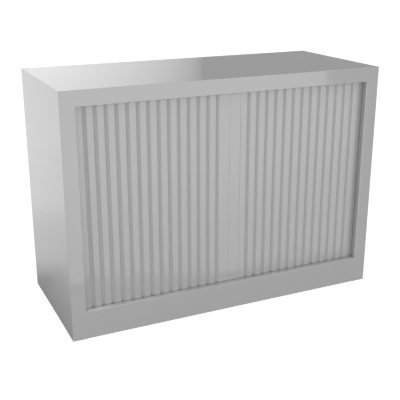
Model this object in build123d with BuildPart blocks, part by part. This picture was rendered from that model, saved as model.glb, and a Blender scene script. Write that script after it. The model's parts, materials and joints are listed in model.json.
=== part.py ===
"""A side-opening tambour cabinet: a folded steel carcass with two roller-shutter doors.

The frame is in millimetres, with +X to the right as seen from the front, +Y towards the back and
+Z up. The origin is on the floor, under the middle of the carcass.

Each door is a curtain of upright slats that hook into one another and run in tracks at their top
and bottom ends. The curtain passes behind the front stile, turns a corner and runs back along the
side wall, outside an inner liner. The corner arc that the hinge pins follow sets the place of the
last slat of each curtain.
"""

import os
from math import acos, atan2, cos, degrees, hypot, radians, sin

from build123d import *

# Carcass
WIDTH = 1000
DEPTH = 430
HEIGHT = 710
SHEET = 1.2
BEND = 1.8
STILE = 43
TOP_RAIL = 44
PLINTH = 84
REVEAL = 21
JAMB = 19
HEM = 7
SHELF_LIP = 12
EDGE_ROUND = 0.9
FLOOR_FLANGE = 300
HEX_SIDES = 6

# Tambour curtain
SLAT_PITCH = 30
RIB_WIDTH = 24
CROWN = 0.9
FACE_CORNER = 1.4
SLAT_DEPTH = 10.4
HINGE_DEPTH = 7
HINGE_INSET = 3
BEAD_RADIUS = 1.9
SOCKET_RADIUS = 2.25
HOOK_RADIUS = 3.6
BEAD_SIDES = 8
HALF_SIDE = 180 / BEAD_SIDES
MOUTH_FRONT = 210
MOUTH_BACK = 105
TONGUE = 1.4
SHOULDER_DEPTH = 3.6
NOSE_DEPTH = 5.95
NOSE_WIDTH = 6
WALL = 1.4
SLATS_PER_DOOR = 15
LEAD_WIDTH = 35
MEETING_X = -1
MEETING_GAP = 0.5
RUNNING_GAP = 0.4
LIP_REACH = 3.5
PLUG_LENGTH = 14
GLIDE_PLATE = 0.6
KEEL_LENGTH = 18

# Tracks, with the path that the hinge pins follow
TRACK_WIDTH = 12
TRACK_HEIGHT = 12
GROOVE_WIDTH = 4.6
GROOVE_DEPTH = 8
PIN_LENGTH = 8
END_GAP = 1
CORNER_RADIUS = 25
SIDE_RUN_X = 487
TRACK_END_Y = 206
STOP_LENGTH = 6

# Inside
FLOOR_TOP = 66
CEILING = 684
TRAY_LIP = 20
FLANGE_LAP = 16
LINER_X = 470
LINER_FRONT = -150
LINER_BACK = 205
LINER_LIP = 9
SLOT_WIDTH = 12
SLOT_HEIGHT = 4
SLOT_PITCH = 50
SLOTS_IN_ROW = 9
SLOT_COLUMNS = (-110, 165)
SHELF_TOP = 384
SHELF_HEIGHT = 25
SHELF_FRONT = -160
SHELF_BACK = 208
SHELF_HALF = 467.5
CLIP_WIDTH = 10
CLIP_DROP = 18
CLIP_REACH = 15

# Levelling feet
FOOT_X = 430
FOOT_Y = 150
FOOT_FLATS = 24
FOOT_HEAD = 8
STEM_RADIUS = 5
STEM_CLEARANCE = 0.1
STEM_SIDES = 12
NUT_FLATS = 17
NUT_HEIGHT = 20

# Track screws
SCREW_RADIUS = 1.6
SCREW_REACH = 3.4
SCREW_HEAD = 3.2
SCREW_HEAD_HEIGHT = 2
FRONT_SCREWS = (-380, 0, 380)
SIDE_SCREWS = (60,)

# Worked out from the above
FRONT = -DEPTH / 2
BACK = DEPTH / 2
HALF = WIDTH / 2
OPENING = HALF - STILE
OPENING_TOP = HEIGHT - TOP_RAIL
FACE_Y = FRONT + REVEAL
HINGE_Y = FACE_Y + HINGE_DEPTH
CORNER_X = SIDE_RUN_X - CORNER_RADIUS
CORNER_Y = HINGE_Y + CORNER_RADIUS
RETURN_Y = FRONT + JAMB
SLAT_BOTTOM = FLOOR_TOP + TRACK_HEIGHT + END_GAP
SLAT_TOP = CEILING - TRACK_HEIGHT - END_GAP
SLAT_LENGTH = SLAT_TOP - SLAT_BOTTOM
CHAMBER_FRONT = WALL + CROWN / 2
CHAMBER_DEPTH = SLAT_DEPTH - WALL - CHAMBER_FRONT
LEFT_LEAD_X = MEETING_X - MEETING_GAP / 2 - LEAD_WIDTH
RIGHT_LEAD_X = MEETING_X + MEETING_GAP / 2
RIGHT_CURTAIN_X = RIGHT_LEAD_X + LEAD_WIDTH
BACK_SHEET_Y = BACK - SHEET
SIDES = {"left": -1, "right": 1}
ENDS = {"bottom": (FLOOR_TOP, 1), "top": (CEILING, -1)}

os.makedirs("parts", exist_ok=True)


def write(builder, name):
    """Name a finished piece and write it as its own file."""
    builder.part.label = name
    export_step(builder.part, f"parts/{name}.step")


def folded_section(outline, side):
    """Draw the section of a folded sheet: its outer line with bends, and its thickness to one side."""
    with BuildLine() as fold:
        FilletPolyline(*outline, radius=BEND)
        offset(amount=SHEET, side=side, closed=True)
    make_face(fold.edges())


# ---------------------------------------------------------------- carcass
def make_side_panel(name, sign):
    """One side wall with its front stile, rear flange and floor flange."""
    inwards = Side.RIGHT if sign > 0 else Side.LEFT
    wall = [(OPENING, BACK), (HALF, BACK), (HALF, FRONT), (OPENING, FRONT)]
    jamb = [(OPENING, RETURN_Y), (OPENING + HEM, RETURN_Y)]
    flat_stile = [(sign * x, y) for x, y in wall]
    turned_stile = [(sign * x, y) for x, y in wall + jamb]
    with BuildPart() as panel:
        with BuildSketch():
            folded_section(flat_stile, inwards)
        extrude(amount=PLINTH)
        with BuildSketch(Plane.XY.offset(PLINTH)):
            folded_section(turned_stile, inwards)
        extrude(amount=OPENING_TOP - PLINTH)
        with BuildSketch(Plane.XY.offset(OPENING_TOP)):
            folded_section(flat_stile, inwards)
        extrude(amount=TOP_RAIL - SHEET)
        with BuildSketch():
            with Locations((sign * (HALF - SHEET), 0)):
                Rectangle(
                    TRAY_LIP,
                    FLOOR_FLANGE,
                    align=(Align.MAX if sign > 0 else Align.MIN, Align.CENTER),
                )
        extrude(amount=SHEET)
    write(panel, name)


for side_name, side_sign in SIDES.items():
    make_side_panel(f"{side_name}_side_panel", side_sign)

with BuildPart() as top_panel:
    with BuildSketch(Plane.YZ.offset(-OPENING)):
        folded_section(
            [
                (BACK, CEILING),
                (BACK, HEIGHT),
                (FRONT, HEIGHT),
                (FRONT, OPENING_TOP),
                (RETURN_Y, OPENING_TOP),
                (RETURN_Y, CEILING + FLANGE_LAP),
            ],
            Side.LEFT,
        )
    extrude(amount=2 * OPENING)
    with BuildSketch(Plane.XY.offset(HEIGHT - SHEET)):
        with Locations((-(HALF + OPENING) / 2, 0), ((HALF + OPENING) / 2, 0)):
            Rectangle(STILE, DEPTH)
    extrude(amount=SHEET)
    outer_ends = top_panel.faces().filter_by(Plane.YZ).group_by(Axis.X)
    fillet(
        [face.edges().sort_by(Axis.Z)[-1] for face in (outer_ends[0][0], outer_ends[-1][0])],
        EDGE_ROUND,
    )
write(top_panel, "top_panel")

with BuildPart() as plinth:
    with BuildSketch(Plane.YZ.offset(-OPENING)):
        folded_section(
            [
                (RETURN_Y, 0),
                (FRONT, 0),
                (FRONT, PLINTH),
                (RETURN_Y, PLINTH),
                (RETURN_Y, FLOOR_TOP - FLANGE_LAP),
            ],
            Side.RIGHT,
        )
    extrude(amount=2 * OPENING)
write(plinth, "plinth")

with BuildPart() as back_panel:
    with BuildSketch(Plane.YZ.offset(-HALF + 2 * SHEET)):
        folded_section(
            [(BACK_SHEET_Y - TRAY_LIP, 0), (BACK_SHEET_Y, 0), (BACK_SHEET_Y, HEIGHT - 2 * SHEET)],
            Side.LEFT,
        )
    extrude(amount=WIDTH - 4 * SHEET)
write(back_panel, "back_panel")

TRAY_WIDTH = WIDTH - 2 * SHEET
TRAY_BACK = BACK_SHEET_Y - SHEET
TRAY_MIDDLE = (RETURN_Y + TRAY_BACK) / 2
SCREW_PLACES = [(x, HINGE_Y) for x in FRONT_SCREWS] + [
    (sign * SIDE_RUN_X, y) for sign in SIDES.values() for y in SIDE_SCREWS
]

with BuildPart() as base_panel:
    with BuildSketch(Plane.XY.offset(FLOOR_TOP)):
        with Locations((0, TRAY_MIDDLE)):
            Rectangle(TRAY_WIDTH, TRAY_BACK - RETURN_Y)
    extrude(amount=-TRAY_LIP)
    offset(amount=-SHEET, openings=base_panel.faces().sort_by(Axis.Z)[0])
    with BuildSketch(Plane.XY.offset(FLOOR_TOP)):
        with Locations(*SCREW_PLACES):
            RegularPolygon(SCREW_RADIUS, HEX_SIDES)
    extrude(amount=-SHEET, mode=Mode.SUBTRACT)
write(base_panel, "base_panel")

with BuildPart() as ceiling_panel:
    with BuildSketch(Plane.XY.offset(CEILING)):
        with Locations((0, TRAY_MIDDLE)):
            Rectangle(TRAY_WIDTH, TRAY_BACK - RETURN_Y)
    extrude(amount=TRAY_LIP)
    offset(amount=-SHEET, openings=ceiling_panel.faces().sort_by(Axis.Z)[-1])
    with BuildSketch(Plane.XY.offset(CEILING)):
        with Locations(*SCREW_PLACES):
            RegularPolygon(SCREW_RADIUS, HEX_SIDES)
    extrude(amount=SHEET, mode=Mode.SUBTRACT)
write(ceiling_panel, "ceiling_panel")


# ---------------------------------------------------------------- tracks
def side_run(sign):
    """The hinge pins' path through one corner and back along the side wall."""
    turn_start = (sign * CORNER_X, HINGE_Y)
    turn_end = (sign * SIDE_RUN_X, CORNER_Y)
    with BuildLine() as path:
        RadiusArc(turn_start, turn_end, -sign * CORNER_RADIUS)
        Line(turn_end, (sign * SIDE_RUN_X, TRACK_END_Y))
    return path.line


def make_track(name, level, upwards, outline):
    """One track: a strip along an outline, with the groove that the hinge pins run in."""
    with BuildPart() as track:
        with BuildSketch(Plane.XY.offset(level)):
            trace(outline, line_width=TRACK_WIDTH)
        extrude(amount=upwards * TRACK_HEIGHT)
        with BuildSketch(Plane.XY.offset(level + upwards * TRACK_HEIGHT)):
            trace(outline, line_width=GROOVE_WIDTH)
        extrude(amount=-upwards * GROOVE_DEPTH, mode=Mode.SUBTRACT)
        with BuildSketch(Plane.XY.offset(level)):
            with Locations(*SCREW_PLACES):
                RegularPolygon(SCREW_RADIUS, HEX_SIDES)
        extrude(amount=upwards * SCREW_REACH, mode=Mode.SUBTRACT)
    write(track, name)


for end_name, (inner_level, upwards) in ENDS.items():
    front_run = Line((-CORNER_X, HINGE_Y), (CORNER_X, HINGE_Y))
    make_track(f"{end_name}_front_track", inner_level, upwards, front_run)
    for side_name, side_sign in SIDES.items():
        make_track(
            f"{side_name}_{end_name}_side_track",
            inner_level,
            upwards,
            side_run(side_sign),
        )

with BuildPart() as track_screws:
    for inner_level, upwards in ENDS.values():
        head_level = inner_level - upwards * SHEET
        with BuildSketch(Plane.XY.offset(head_level)):
            with Locations(*SCREW_PLACES):
                RegularPolygon(SCREW_HEAD, HEX_SIDES)
        extrude(amount=-upwards * SCREW_HEAD_HEIGHT)
        with BuildSketch(Plane.XY.offset(head_level)):
            with Locations(*SCREW_PLACES):
                RegularPolygon(SCREW_RADIUS, HEX_SIDES)
        extrude(amount=upwards * (SHEET + SCREW_REACH))
write(track_screws, "track_screws")

with BuildPart() as curtain_stops:
    for inner_level, upwards in ENDS.values():
        groove_floor = inner_level + upwards * (TRACK_HEIGHT - GROOVE_DEPTH)
        with BuildSketch(Plane.XY.offset(groove_floor)):
            with Locations(*[(sign * SIDE_RUN_X, TRACK_END_Y) for sign in SIDES.values()]):
                Rectangle(GROOVE_WIDTH, STOP_LENGTH, align=(Align.CENTER, Align.MAX))
        extrude(amount=upwards * (GROOVE_DEPTH - END_GAP))
write(curtain_stops, "curtain_stops")


# ---------------------------------------------------------------- liners, shelf and clips
def make_liner(name, sign):
    """The inner side wall, which keeps the curtain's pocket apart from what is stored."""
    outwards = Side.RIGHT if sign > 0 else Side.LEFT
    outline = [
        (LINER_X + LINER_LIP, LINER_FRONT),
        (LINER_X, LINER_FRONT),
        (LINER_X, LINER_BACK),
        (LINER_X + LINER_LIP, LINER_BACK),
    ]
    with BuildPart() as liner:
        with BuildSketch(Plane.XY.offset(FLOOR_TOP)):
            folded_section([(sign * x, y) for x, y in outline], outwards)
        extrude(amount=CEILING - FLOOR_TOP)
        with BuildSketch(Plane.YZ.offset(sign * LINER_X)):
            with Locations(*[(y, SHELF_TOP - SHEET - SLOT_HEIGHT * 2) for y in SLOT_COLUMNS]):
                with GridLocations(0, SLOT_PITCH, 1, SLOTS_IN_ROW):
                    Rectangle(SLOT_WIDTH, SLOT_HEIGHT)
        extrude(amount=sign * SHEET, mode=Mode.SUBTRACT)
    write(liner, name)


for side_name, side_sign in SIDES.items():
    make_liner(f"{side_name}_liner", side_sign)

with BuildPart() as shelf:
    with BuildSketch(Plane.YZ.offset(-SHELF_HALF)):
        folded_section(
            [
                (SHELF_FRONT + SHELF_LIP, SHELF_TOP - SHELF_HEIGHT),
                (SHELF_FRONT, SHELF_TOP - SHELF_HEIGHT),
                (SHELF_FRONT, SHELF_TOP),
                (SHELF_BACK, SHELF_TOP),
                (SHELF_BACK, SHELF_TOP - SHELF_HEIGHT),
                (SHELF_BACK - SHELF_LIP, SHELF_TOP - SHELF_HEIGHT),
            ],
            Side.RIGHT,
        )
    extrude(amount=2 * SHELF_HALF)
write(shelf, "shelf")

CLIP_TOP = SHELF_TOP - SHEET
SLOT_LEVEL = CLIP_TOP - 2 * SLOT_HEIGHT

with BuildPart() as shelf_clips:
    for side_sign in SIDES.values():
        for column_y in SLOT_COLUMNS:
            with BuildSketch(Plane.XZ.offset(-column_y)):
                with BuildLine():
                    Polyline(
                        (side_sign * (LINER_X + 2 * SHEET), SLOT_LEVEL + SHEET),
                        (side_sign * LINER_X, SLOT_LEVEL + SHEET),
                        (side_sign * LINER_X, CLIP_TOP),
                        (side_sign * (LINER_X - CLIP_REACH), CLIP_TOP),
                        (side_sign * (LINER_X - CLIP_REACH), CLIP_TOP - SHEET),
                        (side_sign * (LINER_X - SHEET), CLIP_TOP - CLIP_DROP),
                        (side_sign * LINER_X, CLIP_TOP - CLIP_DROP),
                        (side_sign * LINER_X, SLOT_LEVEL - SHEET),
                        (side_sign * (LINER_X + 2 * SHEET), SLOT_LEVEL - SHEET),
                        close=True,
                    )
                make_face()
            extrude(amount=CLIP_WIDTH / 2, both=True)
write(shelf_clips, "shelf_clips")


# ---------------------------------------------------------------- levelling feet
with BuildPart() as foot_nuts:
    with BuildSketch(Plane.XY.offset(FLOOR_TOP - SHEET)):
        with GridLocations(2 * FOOT_X, 2 * FOOT_Y, 2, 2):
            RegularPolygon(NUT_FLATS / 2, HEX_SIDES, major_radius=False)
            RegularPolygon(
                STEM_RADIUS + STEM_CLEARANCE, STEM_SIDES, major_radius=False, mode=Mode.SUBTRACT
            )
    extrude(amount=-NUT_HEIGHT)
write(foot_nuts, "foot_nuts")


def make_foot(name, x, y):
    """One levelling foot: a hexagon head to stand on, under a stem that screws up into its nut."""
    with BuildPart() as foot:
        with BuildSketch():
            with Locations((x, y)):
                RegularPolygon(FOOT_FLATS / 2, HEX_SIDES, major_radius=False)
        extrude(amount=FOOT_HEAD)
        with BuildSketch(Plane.XY.offset(FOOT_HEAD)):
            with Locations((x, y)):
                RegularPolygon(STEM_RADIUS, STEM_SIDES, major_radius=False)
        extrude(amount=FLOOR_TOP - SHEET - FOOT_HEAD - END_GAP)
    write(foot, name)


for row_name, row_sign in {"front": -1, "rear": 1}.items():
    for side_name, side_sign in SIDES.items():
        make_foot(f"{row_name}_{side_name}_foot", side_sign * FOOT_X, row_sign * FOOT_Y)


# ---------------------------------------------------------------- tambour doors
# In a slat's own section, x runs to the right from its left edge and y runs back from its face.
# The hook at its left end wraps the bead of the slat beside it, open towards the back so that the
# curtain can turn the corner. The bead runs on past both ends of its slat as the guide pins.
def draw_body(width, crown, notch_width, notch_depth):
    """Draw a section's body, with its face crowned or flat and a notch out of its back left corner."""
    with BuildLine() as outline:
        if crown:
            ThreePointArc((0, crown), (width / 2, 0), (width, crown))
        else:
            Line((0, 0), (width, 0))
        Polyline(
            (width, crown),
            (width, SLAT_DEPTH),
            (notch_width, SLAT_DEPTH),
            (notch_width, notch_depth),
            (0, notch_depth),
            (0, crown),
        )
    body = make_face(outline.edges())
    fillet(body.vertices().sort_by(Axis.Y)[:2], FACE_CORNER)


def draw_hook():
    """Draw the hook and its open socket at the left end of a section."""
    reach = 2 * HOOK_RADIUS
    mouth = [
        (HINGE_INSET + reach * cos(radians(turn)), HINGE_DEPTH + reach * sin(radians(turn)))
        for turn in (MOUTH_FRONT, (MOUTH_FRONT + MOUTH_BACK) / 2, MOUTH_BACK)
    ]
    with Locations((HINGE_INSET, HINGE_DEPTH)):
        RegularPolygon(HOOK_RADIUS, BEAD_SIDES, rotation=HALF_SIDE)
        RegularPolygon(SOCKET_RADIUS, BEAD_SIDES, rotation=HALF_SIDE, mode=Mode.SUBTRACT)
    Polygon((HINGE_INSET, HINGE_DEPTH), *mouth, align=None, mode=Mode.SUBTRACT)


def draw_shoulder():
    """Draw the shoulder on a slat's tongue, which shows as the floor of the groove beside it."""
    with Locations((RIB_WIDTH, SHOULDER_DEPTH)):
        Rectangle(
            SLAT_PITCH - RIB_WIDTH - RUNNING_GAP, HINGE_DEPTH - SHOULDER_DEPTH, align=Align.MIN
        )


def draw_tongue(start, bead_x):
    """Draw the tongue from a section's right wall to the middle of its bead."""
    with Locations((start, HINGE_DEPTH)):
        Rectangle(bead_x - start, TONGUE, align=(Align.MIN, Align.CENTER))


def cut_chamber(start, end):
    """Hollow a section between two upright walls."""
    with Locations((start, CHAMBER_FRONT)):
        Rectangle(end - start, CHAMBER_DEPTH, align=Align.MIN, mode=Mode.SUBTRACT)


def section_plane(x, hinge_x=0, swing=0):
    """Where a section starts at the curtain's foot, turned about one of its hinges."""
    turn = radians(swing)
    back_x = hinge_x * cos(turn) - HINGE_DEPTH * sin(turn)
    back_y = hinge_x * sin(turn) + HINGE_DEPTH * cos(turn)
    origin = (x + hinge_x - back_x, HINGE_Y - back_y, SLAT_BOTTOM)
    return Plane(origin=origin, x_dir=(cos(turn), sin(turn), 0), z_dir=(0, 0, 1))


def corner_swing(hinge_x):
    """How far the last slat turns when its first hinge is on the front run and its next on the arc."""
    across = CORNER_X - hinge_x
    reach = hypot(across, CORNER_RADIUS)
    inner = (SLAT_PITCH**2 + reach**2 - CORNER_RADIUS**2) / (2 * SLAT_PITCH * reach)
    return degrees(atan2(CORNER_RADIUS, across) - acos(inner))


def add_guide_pins(plane, *bead_places):
    """Run beads through a slat and out past both of its ends, into the tracks."""
    with BuildSketch(plane.offset(-PIN_LENGTH)) as beads:
        with Locations(*[(x, HINGE_DEPTH) for x in bead_places]):
            RegularPolygon(BEAD_RADIUS, BEAD_SIDES, rotation=HALF_SIDE)
    extrude(beads.sketch, amount=SLAT_LENGTH + 2 * PIN_LENGTH)


def make_slat(name, plane, closed_end=False):
    """One slat. A closed end has a bead of its own in place of the open socket."""
    bead_x = SLAT_PITCH + HINGE_INSET
    with BuildPart() as slat:
        with BuildSketch(plane):
            draw_body(RIB_WIDTH, CROWN, NOSE_WIDTH, NOSE_DEPTH)
            draw_hook()
            cut_chamber(NOSE_WIDTH + WALL, RIB_WIDTH - WALL)
            draw_tongue(RIB_WIDTH, bead_x)
            draw_shoulder()
            if closed_end:
                with Locations((HINGE_INSET, HINGE_DEPTH)):
                    RegularPolygon(HOOK_RADIUS, BEAD_SIDES, rotation=HALF_SIDE)
        extrude(amount=SLAT_LENGTH)
        add_guide_pins(plane, *([HINGE_INSET, bead_x] if closed_end else [bead_x]))
    write(slat, name)


for number in range(1, SLATS_PER_DOOR + 1):
    is_last = number == SLATS_PER_DOOR
    left_x = LEFT_LEAD_X - number * SLAT_PITCH
    left_hinge = SLAT_PITCH + HINGE_INSET
    left_swing = -corner_swing(-(left_x + left_hinge)) if is_last else 0
    make_slat(
        f"left_slat_{number:02d}", section_plane(left_x, left_hinge, left_swing), is_last
    )
    right_x = RIGHT_CURTAIN_X + (number - 1) * SLAT_PITCH
    right_swing = corner_swing(right_x + HINGE_INSET) if is_last else 0
    make_slat(f"right_slat_{number:02d}", section_plane(right_x, HINGE_INSET, right_swing))

# The leads are the flat edge profiles that meet in the middle. The left one's lip reaches behind
# the right one, and the right one's tongue is hidden under its own face.
LEFT_CHAMBER = (NOSE_WIDTH + WALL, LEAD_WIDTH - WALL)
RIGHT_CHAMBER = (LIP_REACH + MEETING_GAP + WALL, LEAD_WIDTH - RUNNING_GAP - WALL)
LIP_DEPTH = HINGE_DEPTH + RUNNING_GAP

with BuildPart() as left_leading_edge:
    with BuildSketch(section_plane(LEFT_LEAD_X)):
        draw_body(LEAD_WIDTH, 0, NOSE_WIDTH, NOSE_DEPTH)
        draw_hook()
        cut_chamber(*LEFT_CHAMBER)
        with Locations((LEAD_WIDTH, LIP_DEPTH)):
            Rectangle(LIP_REACH, WALL, align=Align.MIN)
    extrude(amount=SLAT_LENGTH)
write(left_leading_edge, "left_leading_edge")

with BuildPart() as right_leading_edge:
    with BuildSketch(section_plane(RIGHT_LEAD_X)):
        draw_body(LEAD_WIDTH - RUNNING_GAP, 0, LIP_REACH + MEETING_GAP, HINGE_DEPTH)
        cut_chamber(*RIGHT_CHAMBER)
        draw_tongue(LEAD_WIDTH - RUNNING_GAP, LEAD_WIDTH + HINGE_INSET)
    extrude(amount=SLAT_LENGTH)
    add_guide_pins(section_plane(RIGHT_LEAD_X), LEAD_WIDTH + HINGE_INSET)
write(right_leading_edge, "right_leading_edge")


def make_glides(name, lead_x, chamber):
    """The two end plugs of a lead, each with a keel that slides in the track's groove."""
    start, end = chamber
    width = end - start
    middle = (start + end) / 2
    centre = (lead_x + middle, FACE_Y + CHAMBER_FRONT + CHAMBER_DEPTH / 2)
    with BuildPart() as glides:
        for level, outwards in ((SLAT_BOTTOM, -1), (SLAT_TOP, 1)):
            with BuildSketch(Plane.XY.offset(level)):
                with Locations(centre):
                    Rectangle(width - RUNNING_GAP, CHAMBER_DEPTH - RUNNING_GAP)
            extrude(amount=-outwards * PLUG_LENGTH)
            with BuildSketch(Plane.XY.offset(level)):
                with Locations(centre):
                    Rectangle(width + WALL, CHAMBER_DEPTH + WALL)
            extrude(amount=outwards * GLIDE_PLATE)
            with BuildSketch(Plane.XY.offset(level)):
                with Locations((lead_x + middle, HINGE_Y)):
                    Rectangle(KEEL_LENGTH, 2 * BEAD_RADIUS)
            extrude(amount=outwards * PIN_LENGTH)
    write(glides, name)


make_glides("left_door_glides", LEFT_LEAD_X, LEFT_CHAMBER)
make_glides("right_door_glides", RIGHT_LEAD_X, RIGHT_CHAMBER)
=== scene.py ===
"""The looks of a low steel cabinet with two tambour doors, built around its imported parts.

Each class is one sub-assembly. It holds its sizes in millimetres, shapes its pieces with mesh
operators and hands them over, in metres, to the part that they stand for. Each finish is a frozen
dataclass that makes its own material from shared shader groups.
"""

import json
import logging
import math
from dataclasses import dataclass, replace
from enum import Enum
from functools import cache
from typing import Callable, Iterable, Sequence

import bmesh
import bpy
from bmesh.types import BMEdge, BMesh, BMFace, BMVert
from bpy.types import ID, Material, Mesh, Node, NodeOutputs, NodeSocket, NodeTree, Object
from mathutils import Matrix, Vector


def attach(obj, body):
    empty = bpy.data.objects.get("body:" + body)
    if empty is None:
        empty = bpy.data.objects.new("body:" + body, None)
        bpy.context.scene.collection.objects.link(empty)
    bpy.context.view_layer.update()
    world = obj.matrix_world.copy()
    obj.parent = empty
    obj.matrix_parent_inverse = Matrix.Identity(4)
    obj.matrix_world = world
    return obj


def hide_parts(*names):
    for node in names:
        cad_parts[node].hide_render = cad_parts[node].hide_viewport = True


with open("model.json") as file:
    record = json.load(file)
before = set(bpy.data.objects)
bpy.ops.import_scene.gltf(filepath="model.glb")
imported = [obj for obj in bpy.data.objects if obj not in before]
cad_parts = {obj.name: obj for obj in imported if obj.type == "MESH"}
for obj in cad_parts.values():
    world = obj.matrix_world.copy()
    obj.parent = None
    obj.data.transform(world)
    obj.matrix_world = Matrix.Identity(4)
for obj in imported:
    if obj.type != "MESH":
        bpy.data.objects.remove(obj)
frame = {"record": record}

logging.basicConfig(level=logging.INFO, format="%(message)s")
log = logging.getLogger("tambour_cabinet")

Point = tuple[float, float]
Place = tuple[float, float, float]
SIDES = (("left", -1), ("right", 1))

# Sheet steel
MM = 0.001
STEEL = 1.2
BEND = 1.8
RELIEF = 0.3
SOFT_RIM = 0.2
BEND_SEGMENTS = 5
RIM_SEGMENTS = 2
ROUND_SEGMENTS = 3
PIN_SEGMENTS = 16

# Lines that several sub-assemblies share
FLOOR_TOP = 66
CEILING = 684
CORNER_X = 462
CORNER_RADIUS = 25

# How near counts as touching, and how far an edge turns to count as a fold
WELD_GAP = 0.002
ON_LINE = 0.001
TOUCH = 0.01
CLOSE_BY = 0.02
FLAT_BELOW = 0.01
CORNER_ABOVE = 0.5
SMOOTH_BELOW = math.radians(38)
FOLD_ABOVE = math.radians(60)
FLAT_WEIGHT = 90
LONG_EDGE = 5
UPRIGHT_SHARE = 0.98
SHORTEST_RIM = 2 * BEND
RELIEF_CLEARANCE = 3 * BEND

# The attribute that tells how deep in its section each point of a slat is
SECTION_DEPTH = "section_depth"

NODE_BODY = {
    node: body
    for body, nodes in frame["record"]["behaviour"]["bodies"].items()
    for node in nodes
}


# ---------------------------------------------------------------- shader groups
class GroupName(Enum):
    """The shader groups that several finishes share."""

    EDGES = "edge_wear_and_highlight_mask"
    COAT = "coat_texture"
    DUST_AND_HIGHLIGHT = "dust_and_highlight_group"
    DRAWN = "drawn_lines"


@dataclass(frozen=True)
class Cloud:
    """A noise: its scale per metre, how many finer layers it has and its stretch on each axis."""

    scale: float
    detail: float = 2
    stretch: Place = (1, 1, 1)


EDGE_PATCHES = Cloud(46, detail=4)
ORANGE_PEEL = Cloud(420)
FINE_GRAIN = Cloud(1900, detail=1)
SLOW_TONE = Cloud(5, detail=3)
SPECKS = Cloud(240)
UPWARD_PATCHES = Cloud(17, detail=5)
DIE_LINES = Cloud(900, stretch=(1, 1, 0.004))
EDGE_WIDTH = 0.0006
EDGE_SAMPLES = 6
EDGE_TURN = (0.02, 0.22)
EDGE_PATCH_SPAN = (0.42, 0.62)
EDGE_PATCH_LEAST = 0.15
PEEL_SHARE = 0.75
SPECK_SHARE = 0.5
UPWARDS_SPAN = (0.6, 1.0)
UPWARD_PATCH_SPAN = (0.40, 0.70)
UPWARD_PATCH_LEAST = 0.6


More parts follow.
